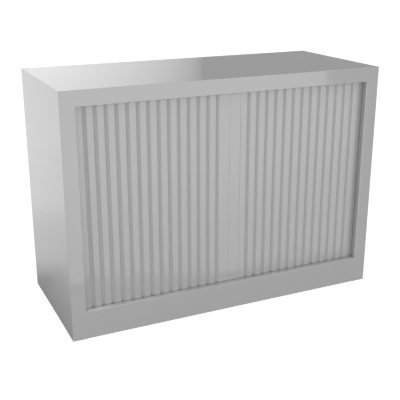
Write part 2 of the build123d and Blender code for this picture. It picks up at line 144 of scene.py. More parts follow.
class Graph:
    """A small helper that places and joins the nodes of one material or group."""

    NODES_IN_ROW = 8
    NODE_STEP = (220, -260)

    def __init__(self, tree: NodeTree) -> None:
        """Start on an empty tree.

        Args:
            tree: The node tree to fill.
        """
        self.tree = tree
        self.tree.nodes.clear()
        self.count = 0

    def add(self, kind: str, **settings: object) -> Node:
        """Add a node.

        Args:
            kind: The node's type name, without its ShaderNode prefix where it has one.
            settings: Attributes of the node to set.

        Returns:
            The new node.
        """
        name = kind if kind.startswith("NodeGroup") else f"ShaderNode{kind}"
        node = self.tree.nodes.new(name)
        row, column = divmod(self.count, self.NODES_IN_ROW)
        node.location = (self.NODE_STEP[0] * column, self.NODE_STEP[1] * row)
        self.count += 1
        for key, value in settings.items():
            setattr(node, key, value)
        return node

    def link(self, source: NodeSocket, target: NodeSocket) -> None:
        """Join an output to an input."""
        self.tree.links.new(source, target)

    def feed(self, socket: NodeSocket, value: object) -> None:
        """Give an input either a link or a plain value.

        Args:
            socket: The input.
            value: The output to join to it, or its value.
        """
        if isinstance(value, NodeSocket):
            self.link(value, socket)
        else:
            socket.default_value = value

    def show(self, shader: Node, output: str = "OutputMaterial") -> None:
        """Make a shader the surface of the material or the world."""
        self.link(shader.outputs[0], self.add(output).inputs["Surface"])

    def math(self, operation: str, *values: object, clamp: bool = False) -> NodeSocket:
        """Work out one number from others.

        Args:
            operation: The Math node's operation.
            values: Its inputs, as sockets or numbers.
            clamp: Whether the result is kept from 0 to 1.

        Returns:
            The result's socket.
        """
        node = self.add("Math", operation=operation, use_clamp=clamp)
        for socket, value in zip(node.inputs, values):
            self.feed(socket, value)
        return node.outputs[0]

    def product(self, first: object, *others: object) -> NodeSocket:
        """Multiply numbers.

        Args:
            first: The first number.
            others: What it is multiplied by, one after the other.

        Returns:
            The product's socket.
        """
        for other in others:
            first = self.math("MULTIPLY", first, other)
        return first

    def map_range(self, kind: str, value: NodeSocket, spans: Sequence[float]) -> NodeSocket:
        """Map a range to another and keep inside it.

        Args:
            kind: The Map Range node's interpolation.
            value: What is mapped.
            spans: Where the range starts and ends, and the results there.

        Returns:
            The result's socket.
        """
        node = self.add("MapRange", interpolation_type=kind)
        for key, number in zip(("From Min", "From Max", "To Min", "To Max"), spans):
            node.inputs[key].default_value = number
        self.link(value, node.inputs["Value"])
        return node.outputs["Result"]

    def spread(self, value: NodeSocket, *spans: float) -> NodeSocket:
        """Map a range smoothly, given by its two ends and the results there."""
        return self.map_range("SMOOTHSTEP", value, spans)

    def ramp(self, value: NodeSocket, *spans: float) -> NodeSocket:
        """Map a range evenly, given by its two ends and the results there."""
        return self.map_range("LINEAR", value, spans)

    def steps(self, value: NodeSocket, stops: Sequence[Point]) -> NodeSocket:
        """Map a number through some stops, evenly between them.

        Args:
            value: What is mapped.
            stops: Each stop's value, from 0 upwards, and its result.

        Returns:
            The result's socket.
        """
        node = self.add("ValToRGB")
        reach = stops[-1][0]
        self.link(self.math("DIVIDE", value, reach), node.inputs["Fac"])
        elements = node.color_ramp.elements
        while len(elements) < len(stops):
            elements.new(1.0)
        for element, (place, _) in zip(elements, stops):
            element.position = place / reach
        for element, (_, result) in zip(elements, stops):
            element.color = (result, result, result, 1.0)
        return node.outputs["Color"]

    def mix(
        self, factor: object, first: object, second: object, kind: str = "FLOAT"
    ) -> NodeSocket:
        """Mix two numbers or two colours.

        Args:
            factor: How much of the second there is.
            first: The first number or colour.
            second: The second.
            kind: The Mix node's data type: FLOAT for numbers and RGBA for colours.

        Returns:
            The result's socket.
        """
        node = self.add("Mix", data_type=kind)
        carried = "VALUE" if kind == "FLOAT" else kind
        pair = [socket for socket in node.inputs if socket.type == carried][-2:]
        for socket, value in zip((node.inputs[0], *pair), (factor, first, second)):
            self.feed(socket, value)
        return next(socket for socket in node.outputs if socket.type == carried)

    def blend(self, factor: object, first: object, second: object) -> NodeSocket:
        """Mix two colours."""
        return self.mix(factor, first, second, "RGBA")

    def place(self) -> NodeSocket:
        """Give the Object coordinates."""
        return self.add("TexCoord").outputs["Object"]

    def depth(self) -> NodeSocket:
        """Give how deep in its section each place is, in millimetres."""
        return self.add("Attribute", attribute_name=SECTION_DEPTH).outputs["Fac"]

    def axes(self, vector: NodeSocket) -> NodeOutputs:
        """Split a vector into its three numbers.

        Args:
            vector: The vector's socket.

        Returns:
            The sockets of its X, Y and Z.
        """
        split = self.add("SeparateXYZ")
        self.link(vector, split.inputs[0])
        return split.outputs

    def noise(self, cloud: Cloud) -> NodeSocket:
        """Add noise on Object coordinates.

        Args:
            cloud: Which noise it is.

        Returns:
            The noise value's socket.
        """
        mapping = self.add("Mapping")
        mapping.inputs["Scale"].default_value = cloud.stretch
        texture = self.add("TexNoise")
        texture.inputs["Scale"].default_value = cloud.scale
        texture.inputs["Detail"].default_value = cloud.detail
        self.link(self.place(), mapping.inputs["Vector"])
        self.link(mapping.outputs[0], texture.inputs["Vector"])
        return texture.outputs["Fac"]

    def group(self, name: GroupName, **values: float) -> NodeOutputs:
        """Place a shared group.

        Args:
            name: Which group it is.
            values: Its inputs, by name.

        Returns:
            The group's outputs.
        """
        node = self.add("Group", node_tree=bpy.data.node_groups[name.value])
        for key, value in values.items():
            node.inputs[key].default_value = value
        return node.outputs


class Group(Graph):
    """A shader group with named number sockets."""

    def __init__(self, name: GroupName, inputs: dict[str, float], *outputs: str) -> None:
        """Start the group.

        Args:
            name: Which group it is.
            inputs: Each input's name and its usual value.
            outputs: Each output's name.
        """
        super().__init__(bpy.data.node_groups.new(name.value, "ShaderNodeTree"))
        number, new_socket = "NodeSocketFloat", self.tree.interface.new_socket
        for key, value in inputs.items():
            new_socket(key, in_out="INPUT", socket_type=number).default_value = value
        for key in outputs:
            new_socket(key, in_out="OUTPUT", socket_type=number)
        self.given = self.add("NodeGroupInput").outputs
        self.result = self.add("NodeGroupOutput").inputs


def build_edge_group() -> None:
    """Make the group that finds a piece's outer edges, broken up in patches: wearing from
    handling on small parts, a painted highlight along the shell's folds.
    """
    graph = Group(GroupName.EDGES, {"Width": EDGE_WIDTH, "Amount": 1.0}, "Mask")
    bevel = graph.add("Bevel", samples=EDGE_SAMPLES)
    graph.link(graph.given["Width"], bevel.inputs["Radius"])
    dot = graph.add("VectorMath", operation="DOT_PRODUCT")
    graph.link(bevel.outputs[0], dot.inputs[0])
    graph.link(graph.add("NewGeometry").outputs["Normal"], dot.inputs[1])
    turned = graph.math("SUBTRACT", 1.0, dot.outputs["Value"])
    near = graph.spread(turned, *EDGE_TURN, 0.0, 1.0)
    broken = graph.spread(graph.noise(EDGE_PATCHES), *EDGE_PATCH_SPAN, EDGE_PATCH_LEAST, 1.0)
    graph.link(graph.product(near, broken, graph.given["Amount"]), graph.result["Mask"])


def build_coat_group() -> None:
    """Make the group with a coating's fine texture and its slow changes of tone."""
    graph = Group(GroupName.COAT, {"Fine": 1.0, "Tone": 1.0}, "Height", "Tone")
    peel = graph.product(graph.noise(ORANGE_PEEL), PEEL_SHARE)
    grain = graph.product(graph.noise(FINE_GRAIN), 1 - PEEL_SHARE)
    height = graph.math("ADD", peel, grain)
    graph.link(graph.product(height, graph.given["Fine"]), graph.result["Height"])
    cloud, speck = (
        graph.math("SUBTRACT", graph.noise(noise), 0.5) for noise in (SLOW_TONE, SPECKS)
    )
    tone = graph.math("ADD", cloud, graph.product(speck, SPECK_SHARE))
    graph.link(graph.product(tone, graph.given["Tone"]), graph.result["Tone"])


def build_dust_and_highlight_group() -> None:
    """Make the group that finds up-facing patches to lighten: dusting on small parts, a painted
    highlight on the plinth.
    """
    graph = Group(GroupName.DUST_AND_HIGHLIGHT, {"Amount": 1.0}, "Mask")
    normal = graph.axes(graph.add("NewGeometry").outputs["Normal"])
    upwards = graph.spread(normal["Z"], *UPWARDS_SPAN, 0.0, 1.0)
    patches = graph.spread(graph.noise(UPWARD_PATCHES), *UPWARD_PATCH_SPAN, UPWARD_PATCH_LEAST, 1.0)
    graph.link(graph.product(upwards, patches, graph.given["Amount"]), graph.result["Mask"])


def build_drawn_group() -> None:
    """Make the group with the fine upright lines that a die leaves along an extrusion."""
    graph = Group(GroupName.DRAWN, {"Amount": 1.0}, "Height")
    lines = graph.product(graph.noise(DIE_LINES), graph.given["Amount"])
    graph.link(lines, graph.result["Height"])


# ---------------------------------------------------------------- finishes
TONE_SPAN = 0.14
# Tint of lightened edges: wearing on small parts, a painted highlight on the shell.
WEAR_AND_HIGHLIGHT_LIFT = (1.5, 0.05)
TONE_TO_ROUGHNESS = 0.6
DUST_AND_HIGHLIGHT_TO_ROUGHNESS = 0.3
MATT_ROUGHNESS = 0.75
MATT_FADE = 0.8
BUMP_HEIGHT = 0.0004
# Where the plinth's painted highlight grows towards the left end, in metres.
LEFT_END_HIGHLIGHT_SPAN = (-0.457, -0.1)
BLACK = (0.0, 0.0, 0.0, 1.0)
# Tint of dusting, also the colour of the plinth's painted highlight.
DUST_AND_HIGHLIGHT_COLOUR = (0.90, 0.89, 0.88, 1.0)


def new_material(name: str) -> tuple[Material, Graph]:
    """Start a material of nodes.

    Args:
        name: The material's name.

    Returns:
        The material and its empty graph.
    """
    made = bpy.data.materials.new(name)
    made.use_nodes = True
    return made, Graph(made.node_tree)


@dataclass(frozen=True)
class Finish:
    """What every finish has: its name, colour and gloss."""

    name: str
    colour: tuple[float, float, float]
    roughness: float = 0.4
    metallic: float = 0.0
    coat: float = 0.0
    coat_roughness: float = 0.1
    specular: float = 0.5
    bump: float = 0.02
    tone: float = 0.03
    dust_and_highlight: float = 0.0
    left_end_highlight: float = 0.0
    edge_wear_and_highlight: float = 0.0
    drawn: float = 0.0
    matt_below: float = 0.0
    # Painted shade in the grooves: how dark their floors get, and the depth in millimetres where
    # it is darkest.
    groove_tone: float = 1.0
    groove_depth: float = 4.6

    @cache
    def material(self) -> Material:
        """Make the finish's material, or give the one already made.

        Returns:
            The material.
        """
        made, graph = new_material(self.name)
        made.diffuse_color = (*self.colour, 1.0)
        shader = graph.add("BsdfPrincipled")
        graph.show(shader)
        for key, value in (
            ("Metallic", self.metallic),
            ("Specular IOR Level", self.specular),
            ("Coat Weight", self.coat),
            ("Coat Roughness", self.coat_roughness),
        ):
            shader.inputs[key].default_value = value
        coat = graph.group(GroupName.COAT, Fine=1.0, Tone=self.tone)
        dust_and_highlight = self.dust_and_highlight_mask(graph)
        graph.link(self.tint(graph, coat["Tone"], dust_and_highlight), shader.inputs["Base Color"])
        rough = graph.product(coat["Tone"], TONE_TO_ROUGHNESS)
        rough = graph.math("ADD", self.roughness, rough)
        rough = graph.math("ADD", rough, graph.product(dust_and_highlight, DUST_AND_HIGHLIGHT_TO_ROUGHNESS), clamp=True)
        if self.matt_below:
            fade = (self.matt_below, self.matt_below + MATT_FADE)
            matt = graph.spread(graph.depth(), *fade, 0.0, 1.0)
            rough = graph.math("MAXIMUM", rough, graph.product(matt, MATT_ROUGHNESS))
            glossy = graph.product(graph.math("SUBTRACT", 1.0, matt), self.coat)
            graph.link(glossy, shader.inputs["Coat Weight"])
        graph.link(rough, shader.inputs["Roughness"])
        graph.link(self.relief(graph, coat["Height"]), shader.inputs["Normal"])
        return made

    def dust_and_highlight_mask(self, graph: Graph) -> NodeSocket:
        """Find the up-facing patches to lighten: dusting on small parts, a painted highlight on
        the plinth that grows towards the left end where the finish has that.

        Args:
            graph: The material's graph.

        Returns:
            The mask's socket.
        """
        mask = graph.group(GroupName.DUST_AND_HIGHLIGHT, Amount=self.dust_and_highlight)["Mask"]
        if self.left_end_highlight:
            # Painted highlight, stronger towards the left end of the plinth's ledge.
            across = graph.axes(graph.place())["X"]
            more = graph.ramp(across, *LEFT_END_HIGHLIGHT_SPAN, 1.0 + self.left_end_highlight, 1.0)
            mask = graph.math("MULTIPLY", mask, more, clamp=True)
        return mask

    def tint(self, graph: Graph, tone: NodeSocket, dust_and_highlight: NodeSocket) -> NodeSocket:
        """Vary the colour, paint shade into the grooves, and lighten the edges and the up-facing
        patches: wearing and dusting on small parts, painted highlights on the shell and the
        plinth.

        Args:
            graph: The material's graph.
            tone: How much lighter or darker each place is.
            dust_and_highlight: How much dusting lies on it, and on the plinth how much painted
                highlight.

        Returns:
            The colour's socket.
        """
        factor = graph.math("ADD", 0.5, tone, clamp=True)
        base = graph.blend(factor, self.lit(1 - TONE_SPAN), self.lit(1 + TONE_SPAN))
        if self.matt_below:
            spans = (0.0, self.groove_depth, 0.0, 1.0 - self.groove_tone)
            shadow = graph.ramp(graph.depth(), *spans)
            base = graph.blend(shadow, base, BLACK)
        # Lighten the edges: wearing on small parts, a painted highlight along the shell's folds.
        worn_and_highlit = graph.group(GroupName.EDGES, Amount=self.edge_wear_and_highlight)["Mask"]
        base = graph.blend(worn_and_highlit, base, self.lit(*WEAR_AND_HIGHLIGHT_LIFT))
        # Lighten the up-facing patches: dusting on small parts, a painted highlight on the
        # plinth's ledge.
        return graph.blend(dust_and_highlight, base, DUST_AND_HIGHLIGHT_COLOUR)

    def lit(self, factor: float, lift: float = 0.0) -> tuple[float, ...]:
        """Give the finish's colour made lighter or darker."""
        return tuple(min(1.0, channel * factor + lift) for channel in self.colour) + (1.0,)

    def relief(self, graph: Graph, height: NodeSocket) -> NodeSocket:
        """Give the surface its fine relief.

        Args:
            graph: The material's graph.
            height: The coat's own height.

        Returns:
            The normal's socket.
        """
        if self.drawn:
            lines = graph.group(GroupName.DRAWN, Amount=self.drawn)["Height"]
            height = graph.math("ADD", height, lines)
        bump = graph.add("Bump")
        bump.inputs["Strength"].default_value = self.bump
        bump.inputs["Distance"].default_value = BUMP_HEIGHT
        graph.link(height, bump.inputs["Height"])
        return bump.outputs[0]


GREY = (0.452, 0.452, 0.452)
EDGE_PAINT = Finish(
    "edge_powder_coat", GREY, roughness=0.08, coat=1.0, coat_roughness=0.03, specular=0.75
)
# The shell's slight edge lightening is a painted highlight along its folds.
STEEL_PAINT = replace(EDGE_PAINT, name="shell_powder_coat", edge_wear_and_highlight=0.05)
# The plinth's up-facing lightening, stronger towards the left end, is a painted highlight on its
# ledge.
PLINTH_PAINT = replace(STEEL_PAINT, name="plinth_powder_coat", dust_and_highlight=0.28, left_end_highlight=2.4)
INNER_PAINT = Finish("inner_powder_coat", GREY, roughness=0.3, coat=0.3, coat_roughness=0.15)
SLAT_PLASTIC = Finish(
    "satin_slat_plastic", GREY, roughness=0.16, coat=1.0, coat_roughness=0.08, specular=0.75,
    matt_below=1.6, groove_tone=0.82, drawn=0.3,
)
TRACK_PLASTIC = Finish("smooth_track_plastic", (0.60, 0.60, 0.58), roughness=0.3, edge_wear_and_highlight=0.1)
ZINC_STEEL = Finish(
    "bright_zinc_plate", (0.56, 0.57, 0.59), roughness=0.28, metallic=1.0,
    tone=0.12, edge_wear_and_highlight=0.3, dust_and_highlight=0.05,
)
STOP_RUBBER = Finish("black_rubber", (0.012, 0.012, 0.013), roughness=0.75, edge_wear_and_highlight=0.05)


# ---------------------------------------------------------------- shaping
class Run(Enum):
    """The direction in which a section runs."""

    UP = "up"
    ACROSS = "across"
    BACK = "back"

    def place(self, u: float, v: float, along: float) -> Vector:
        """Give a point.

        Args:
            u: Its first place in the section.
            v: Its second place in the section.
            along: Its distance along the run.

        Returns:
            The point.
        """
        if self is Run.UP:
            return Vector((u, v, along))
        if self is Run.ACROSS:
            return Vector((along, u, v))
        return Vector((u, along, v))

    def vector(self, distance: float) -> Vector:
        """Give a step of that distance along the run."""
        return self.place(0, 0, distance)


def pick(kind: type, geometry: Iterable[object]) -> list:
    """Pick one kind of thing out of what an operator gives."""
    return [item for item in geometry if isinstance(item, kind)]


def move(mesh: BMesh, step: Sequence[float]) -> None:
    """Move a whole mesh."""
    bmesh.ops.translate(mesh, vec=step, verts=mesh.verts[:])


def resize(mesh: BMesh, factors: Sequence[float]) -> None:
    """Scale a whole mesh about the origin."""
    bmesh.ops.scale(mesh, vec=factors, verts=mesh.verts[:])


def bevel_edges(
    mesh: BMesh, edges: Sequence[BMEdge], offset: float, segments: int = RIM_SEGMENTS
) -> None:
    """Round edges.

    Args:
        mesh: The mesh.
        edges: The edges to round.
        offset: How far from each edge the rounding starts.
        segments: How many faces it has across.
    """
    if edges:
        bmesh.ops.bevel(
            mesh,
            geom=list(edges),
            offset=offset,
            offset_type="OFFSET",
            segments=segments,
            profile=0.5,
            affect="EDGES",
            clamp_overlap=False,
            material=-1,
        )


def sharp_edges(
    mesh: BMesh,
    at: Callable[[Vector], bool] = lambda place: True,
    above: float = FOLD_ABOVE,
) -> list[BMEdge]:
    """Find a mesh's sharp edges.

    Args:
        mesh: The mesh.
        at: Tells by the place of an edge's end whether it counts.
        above: How far an edge turns at least, in radians.

    Returns:
        The sharp edges of which both ends count.
    """
    mesh.normal_update()
    return [
        edge
        for edge in mesh.edges
        if edge.calc_face_angle(0) > above and all(at(vert.co) for vert in edge.verts)
    ]


def stretch_faces(mesh: BMesh, faces: Sequence[BMFace], step: Vector) -> list[BMFace]:
    """Extrude faces.

    Args:
        mesh: The mesh.
        faces: The faces to extrude as one region.
        step: How far and which way.

    Returns:
        The faces at the far end.
    """
    region = list(faces) + list({edge for face in faces for edge in face.edges})
    made = bmesh.ops.extrude_face_region(mesh, geom=region)["geom"]
    bmesh.ops.translate(mesh, verts=pick(BMVert, made), vec=step)
    return pick(BMFace, made)


def add_rod(mesh: BMesh, radius: float, length: float, segments: int) -> list[BMVert]:
    """Add an upright rod about the origin.

    Args:
        mesh: The mesh that takes it.
        radius: Its radius.
        length: Its length.
        segments: How many sides it has.

    Returns:
        Its vertices.
    """
    return bmesh.ops.create_cone(
        mesh, cap_ends=True, segments=segments, radius1=radius, radius2=radius, depth=length
    )["verts"]


def take_data(mesh: BMesh, name: str) -> Mesh:
    """Turn a shaped mesh into mesh data and free it.

    Args:
        mesh: The shaped mesh.
        name: The data's name.

    Returns:
        The data.
    """
    data = bpy.data.meshes.new(name)
    mesh.to_mesh(data)
    mesh.free()
    return data


def add_copy(mesh: BMesh, other: BMesh) -> None:
    """Add another mesh to a mesh and free it.

    Args:
        mesh: The mesh that takes it.
        other: The mesh that is added.
    """
    data = take_data(other, "copy")
    mesh.from_mesh(data)
    bpy.data.meshes.remove(data)


def add_object(name: str, data: ID) -> Object:
    """Put a new object in the scene.

    Args:
        name: The object's name.
        data: Its mesh, camera or light.

    Returns:
        The object.
    """
    made = bpy.data.objects.new(name, data)
    bpy.context.scene.collection.objects.link(made)
    return made


def hand_over(mesh: BMesh, name: str, finish: Finish, *nodes: str) -> None:
    """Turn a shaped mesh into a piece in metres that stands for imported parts.

    Args:
        mesh: The shaped mesh, in millimetres.
        name: The piece's name.
        finish: What it is finished with.
        nodes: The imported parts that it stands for, all on one body.
    """
    bmesh.ops.remove_doubles(mesh, verts=mesh.verts[:], dist=WELD_GAP)
    bmesh.ops.recalc_face_normals(mesh, faces=mesh.faces[:])
    resize(mesh, (MM, MM, MM))
    data = take_data(mesh, name)
    data.shade_smooth()
    data.set_sharp_from_angle(angle=SMOOTH_BELOW)
    data.materials.append(finish.material())
    piece = add_object(name, data)
    normals = piece.modifiers.new("flat_faces", "WEIGHTED_NORMAL")
    normals.keep_sharp = True
    normals.weight = FLAT_WEIGHT
    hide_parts(*nodes)
    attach(piece, NODE_BODY[nodes[0]])
    log.info("%s: %d faces, finished in %s", name, len(data.polygons), finish.name)


class Sheet:
    """A folded sheet, drawn as the outer faces of its walls and then given its thickness."""

    def __init__(self, outline: Sequence[Point], run: Run, start: float, end: float) -> None:
        """Draw the walls.

        Args:
            outline: The corners of the sheet's outer line.
            run: Which way its section runs.
            start: Where the run starts.
            end: Where the run ends.
        """
        self.mesh = bmesh.new()
        self.reliefs: list[Vector] = []
        tip = self.mesh.verts.new(run.place(*outline[0], start))
        for corner in outline[1:]:
            tip = bmesh.ops.extrude_vert_indiv(self.mesh, verts=[tip])["verts"][0]
            tip.co = run.place(*corner, start)
        self.pull(self.mesh.edges, run.vector(end - start))

    def pull(self, edges: Iterable[BMEdge], step: Sequence[float]) -> list[object]:
        """Draw walls out of some edges.

        Args:
            edges: The edges.
            step: How far and which way.

        Returns:
            What is new.
        """
        made = bmesh.ops.extrude_edge_only(self.mesh, edges=list(edges))["geom"]
        bmesh.ops.translate(self.mesh, verts=pick(BMVert, made), vec=step)
        return made

    def edge_at(self, first: Vector, second: Vector) -> BMEdge:
        """Find the edge on which both points lie.

        Args:
            first: One point.
            second: The other point.

        Returns:
            The edge.
        """

        def strays(edge: BMEdge, point: Vector) -> float:
            """Measure the detour from one end of an edge to the other by way of a point."""
            a, b = (vert.co for vert in edge.verts)
            return abs((a - point).length + (point - b).length - (a - b).length)

        return next(
            edge
            for edge in self.mesh.edges
            if all(strays(edge, point) < ON_LINE for point in (first, second))
        )

    def mark(self, first: Vector, second: Vector) -> BMEdge:
        """Split an edge at two points on it.

        Args:
            first: One point on the edge.
            second: The other point.

        Returns:
            The edge between the two points.
        """
        for point in (first, second):
            edge = self.edge_at(first, second)
            if min((vert.co - point).length for vert in edge.verts) > ON_LINE:
                vert = edge.verts[0]
                share = (point - vert.co).length / edge.calc_length()
                bmesh.utils.edge_split(edge, vert, share)
        return self.edge_at(first, second)

    def flange(self, first: Vector, second: Vector, *steps: Vector) -> None:
        """Add walls on part of an edge, a little short of its ends.

        Args:
            first: Where the flange starts on the edge.
            second: Where it ends on the edge.
            steps: Each wall's width and direction.
        """
        self.mark(first, second)
        inset = (second - first).normalized() * RELIEF
        edge = self.mark(first + inset, second - inset)
        self.reliefs += [first + inset, second - inset]
        for step in steps:
            made = self.pull([edge], step)
            edge = next(
                item for item in pick(BMEdge, made) if all(vert in made for vert in item.verts)
            )

    def widen(self, edge: BMEdge, step: Vector) -> None:
        """Extend the sheet in its own plane.

        Args:
            edge: The edge from which it is extended.
            step: How far and which way.
        """
        self.pull([edge], step)
        bmesh.ops.dissolve_edges(self.mesh, edges=[edge], use_verts=False)

    def thicken(self, inside: Vector) -> "Sheet":
        """Round the folds and give the sheet its thickness.

        Args:
            inside: A point towards which the thickness goes from the sheet's widest face.

        Returns:
            The sheet.
        """
        bevel_edges(self.mesh, sharp_edges(self.mesh), BEND, BEND_SEGMENTS)
        bmesh.ops.recalc_face_normals(self.mesh, faces=self.mesh.faces[:])
        self.mesh.normal_update()
        widest = max(self.mesh.faces, key=lambda face: face.calc_area())
        if widest.normal.dot(inside - widest.calc_center_median()) > 0:
            bmesh.ops.reverse_faces(self.mesh, faces=self.mesh.faces[:])
        bmesh.ops.solidify(self.mesh, geom=self.mesh.faces[:], thickness=STEEL)
        return self

    def soften(self, keep: Callable[[Vector], bool] = lambda middle: False) -> None:
        """Round the sheet's rims a little.

        Args:
            keep: Tells by an edge's middle whether it stays sharp, as at a welded seam.
        """
        rims = []
        for edge in sharp_edges(self.mesh):
            ends = [vert.co for vert in edge.verts]
            gaps = ((end - relief).length for end in ends for relief in self.reliefs)
            clear = min(gaps, default=math.inf) > RELIEF_CLEARANCE
            middle = (ends[0] + ends[1]) / 2
            if edge.calc_length() >= SHORTEST_RIM and clear and not keep(middle):
                rims.append(edge)
        bevel_edges(self.mesh, rims, SOFT_RIM)


class Section:
    """A closed section, drawn with straight runs and arcs, and run out to a length."""

    def __init__(self, run: Run, level: float) -> None:
        """Start an empty section.

        Args:
            run: Which way the section runs.
            level: Where its run starts.
        """
        self.mesh = bmesh.new()
        self.run = run
        self.level = level
        self.first = self.tip = None

    def start(self, x: float, y: float) -> "Section":
        """Start a new loop at a point."""
        self.first = self.tip = self.mesh.verts.new(self.run.place(x, y, self.level))
        return self

    def line(self, *corners: Point) -> "Section":
        """Draw straight on.

        Args:
            corners: The corners to go through.

        Returns:
            The section.
        """
        for corner in corners:
            self.tip = bmesh.ops.extrude_vert_indiv(self.mesh, verts=[self.tip])["verts"][0]
            self.tip.co = self.run.place(*corner, self.level)
        return self

    def arc(self, centre: Point, degrees: float, segments: int) -> None:
        """Draw on round a centre, in a section that runs up.

        Args:
            centre: The arc's centre.
            degrees: How far it turns, counted from the section's first axis to its second.
            segments: How many straight pieces it has.
        """
        made = bmesh.ops.spin(
            self.mesh,
            geom=[self.tip],
            cent=self.run.place(*centre, self.level),
            axis=self.run.vector(1),
            angle=math.radians(degrees),
            steps=segments,
            use_merge=False,
        )
        self.tip = pick(BMVert, made["geom_last"])[0]

    def close(self) -> None:
        """Close the loop, with a last line where its ends don't meet."""
        ends = [self.tip, self.first]
        if (self.tip.co - self.first.co).length > CLOSE_BY:
            bmesh.ops.contextual_create(self.mesh, geom=ends)
        else:
            bmesh.ops.pointmerge(self.mesh, verts=ends, merge_co=self.first.co)

    def loop(self, *corners: Point) -> None:
        """Draw a whole loop of straight lines."""
        self.start(*corners[0]).line(*corners[1:]).close()

    def fill(self) -> None:
        """Fill between the loops drawn so far."""
        bmesh.ops.triangle_fill(
            self.mesh,
            use_beauty=True,
            use_dissolve=False,
            edges=[edge for edge in self.mesh.edges if not edge.link_faces],
            normal=self.run.vector(1),
        )

    def join_flat(self) -> None:
        """Join the triangles of flat faces."""
        bmesh.ops.dissolve_limit(
            self.mesh,
            angle_limit=FLAT_BELOW,
            verts=self.mesh.verts[:],
            edges=self.mesh.edges[:],
        )

    def stretch(self, distance: float) -> list[BMFace]:
        """Run the whole section out to a length and give the faces at its end."""
        return stretch_faces(self.mesh, self.mesh.faces[:], self.run.vector(distance))

    def round_corners(self, radius: float, *corners: Point) -> None:
        """Round the long edges of a section that was run up.

        Args:
            radius: How far from each edge the rounding starts.
            corners: The corners of the section from which they run.
        """
        places = [Vector(corner) for corner in corners]
        found = []
        for edge in self.mesh.edges:
            a, b = (vert.co for vert in edge.verts)
            upright = abs(b.z - a.z) > max(UPRIGHT_SHARE * (b - a).length, LONG_EDGE)
            if upright and any((a.xy - place).length < CLOSE_BY for place in places):
                found.append(edge)
        bevel_edges(self.mesh, found, radius, ROUND_SEGMENTS)


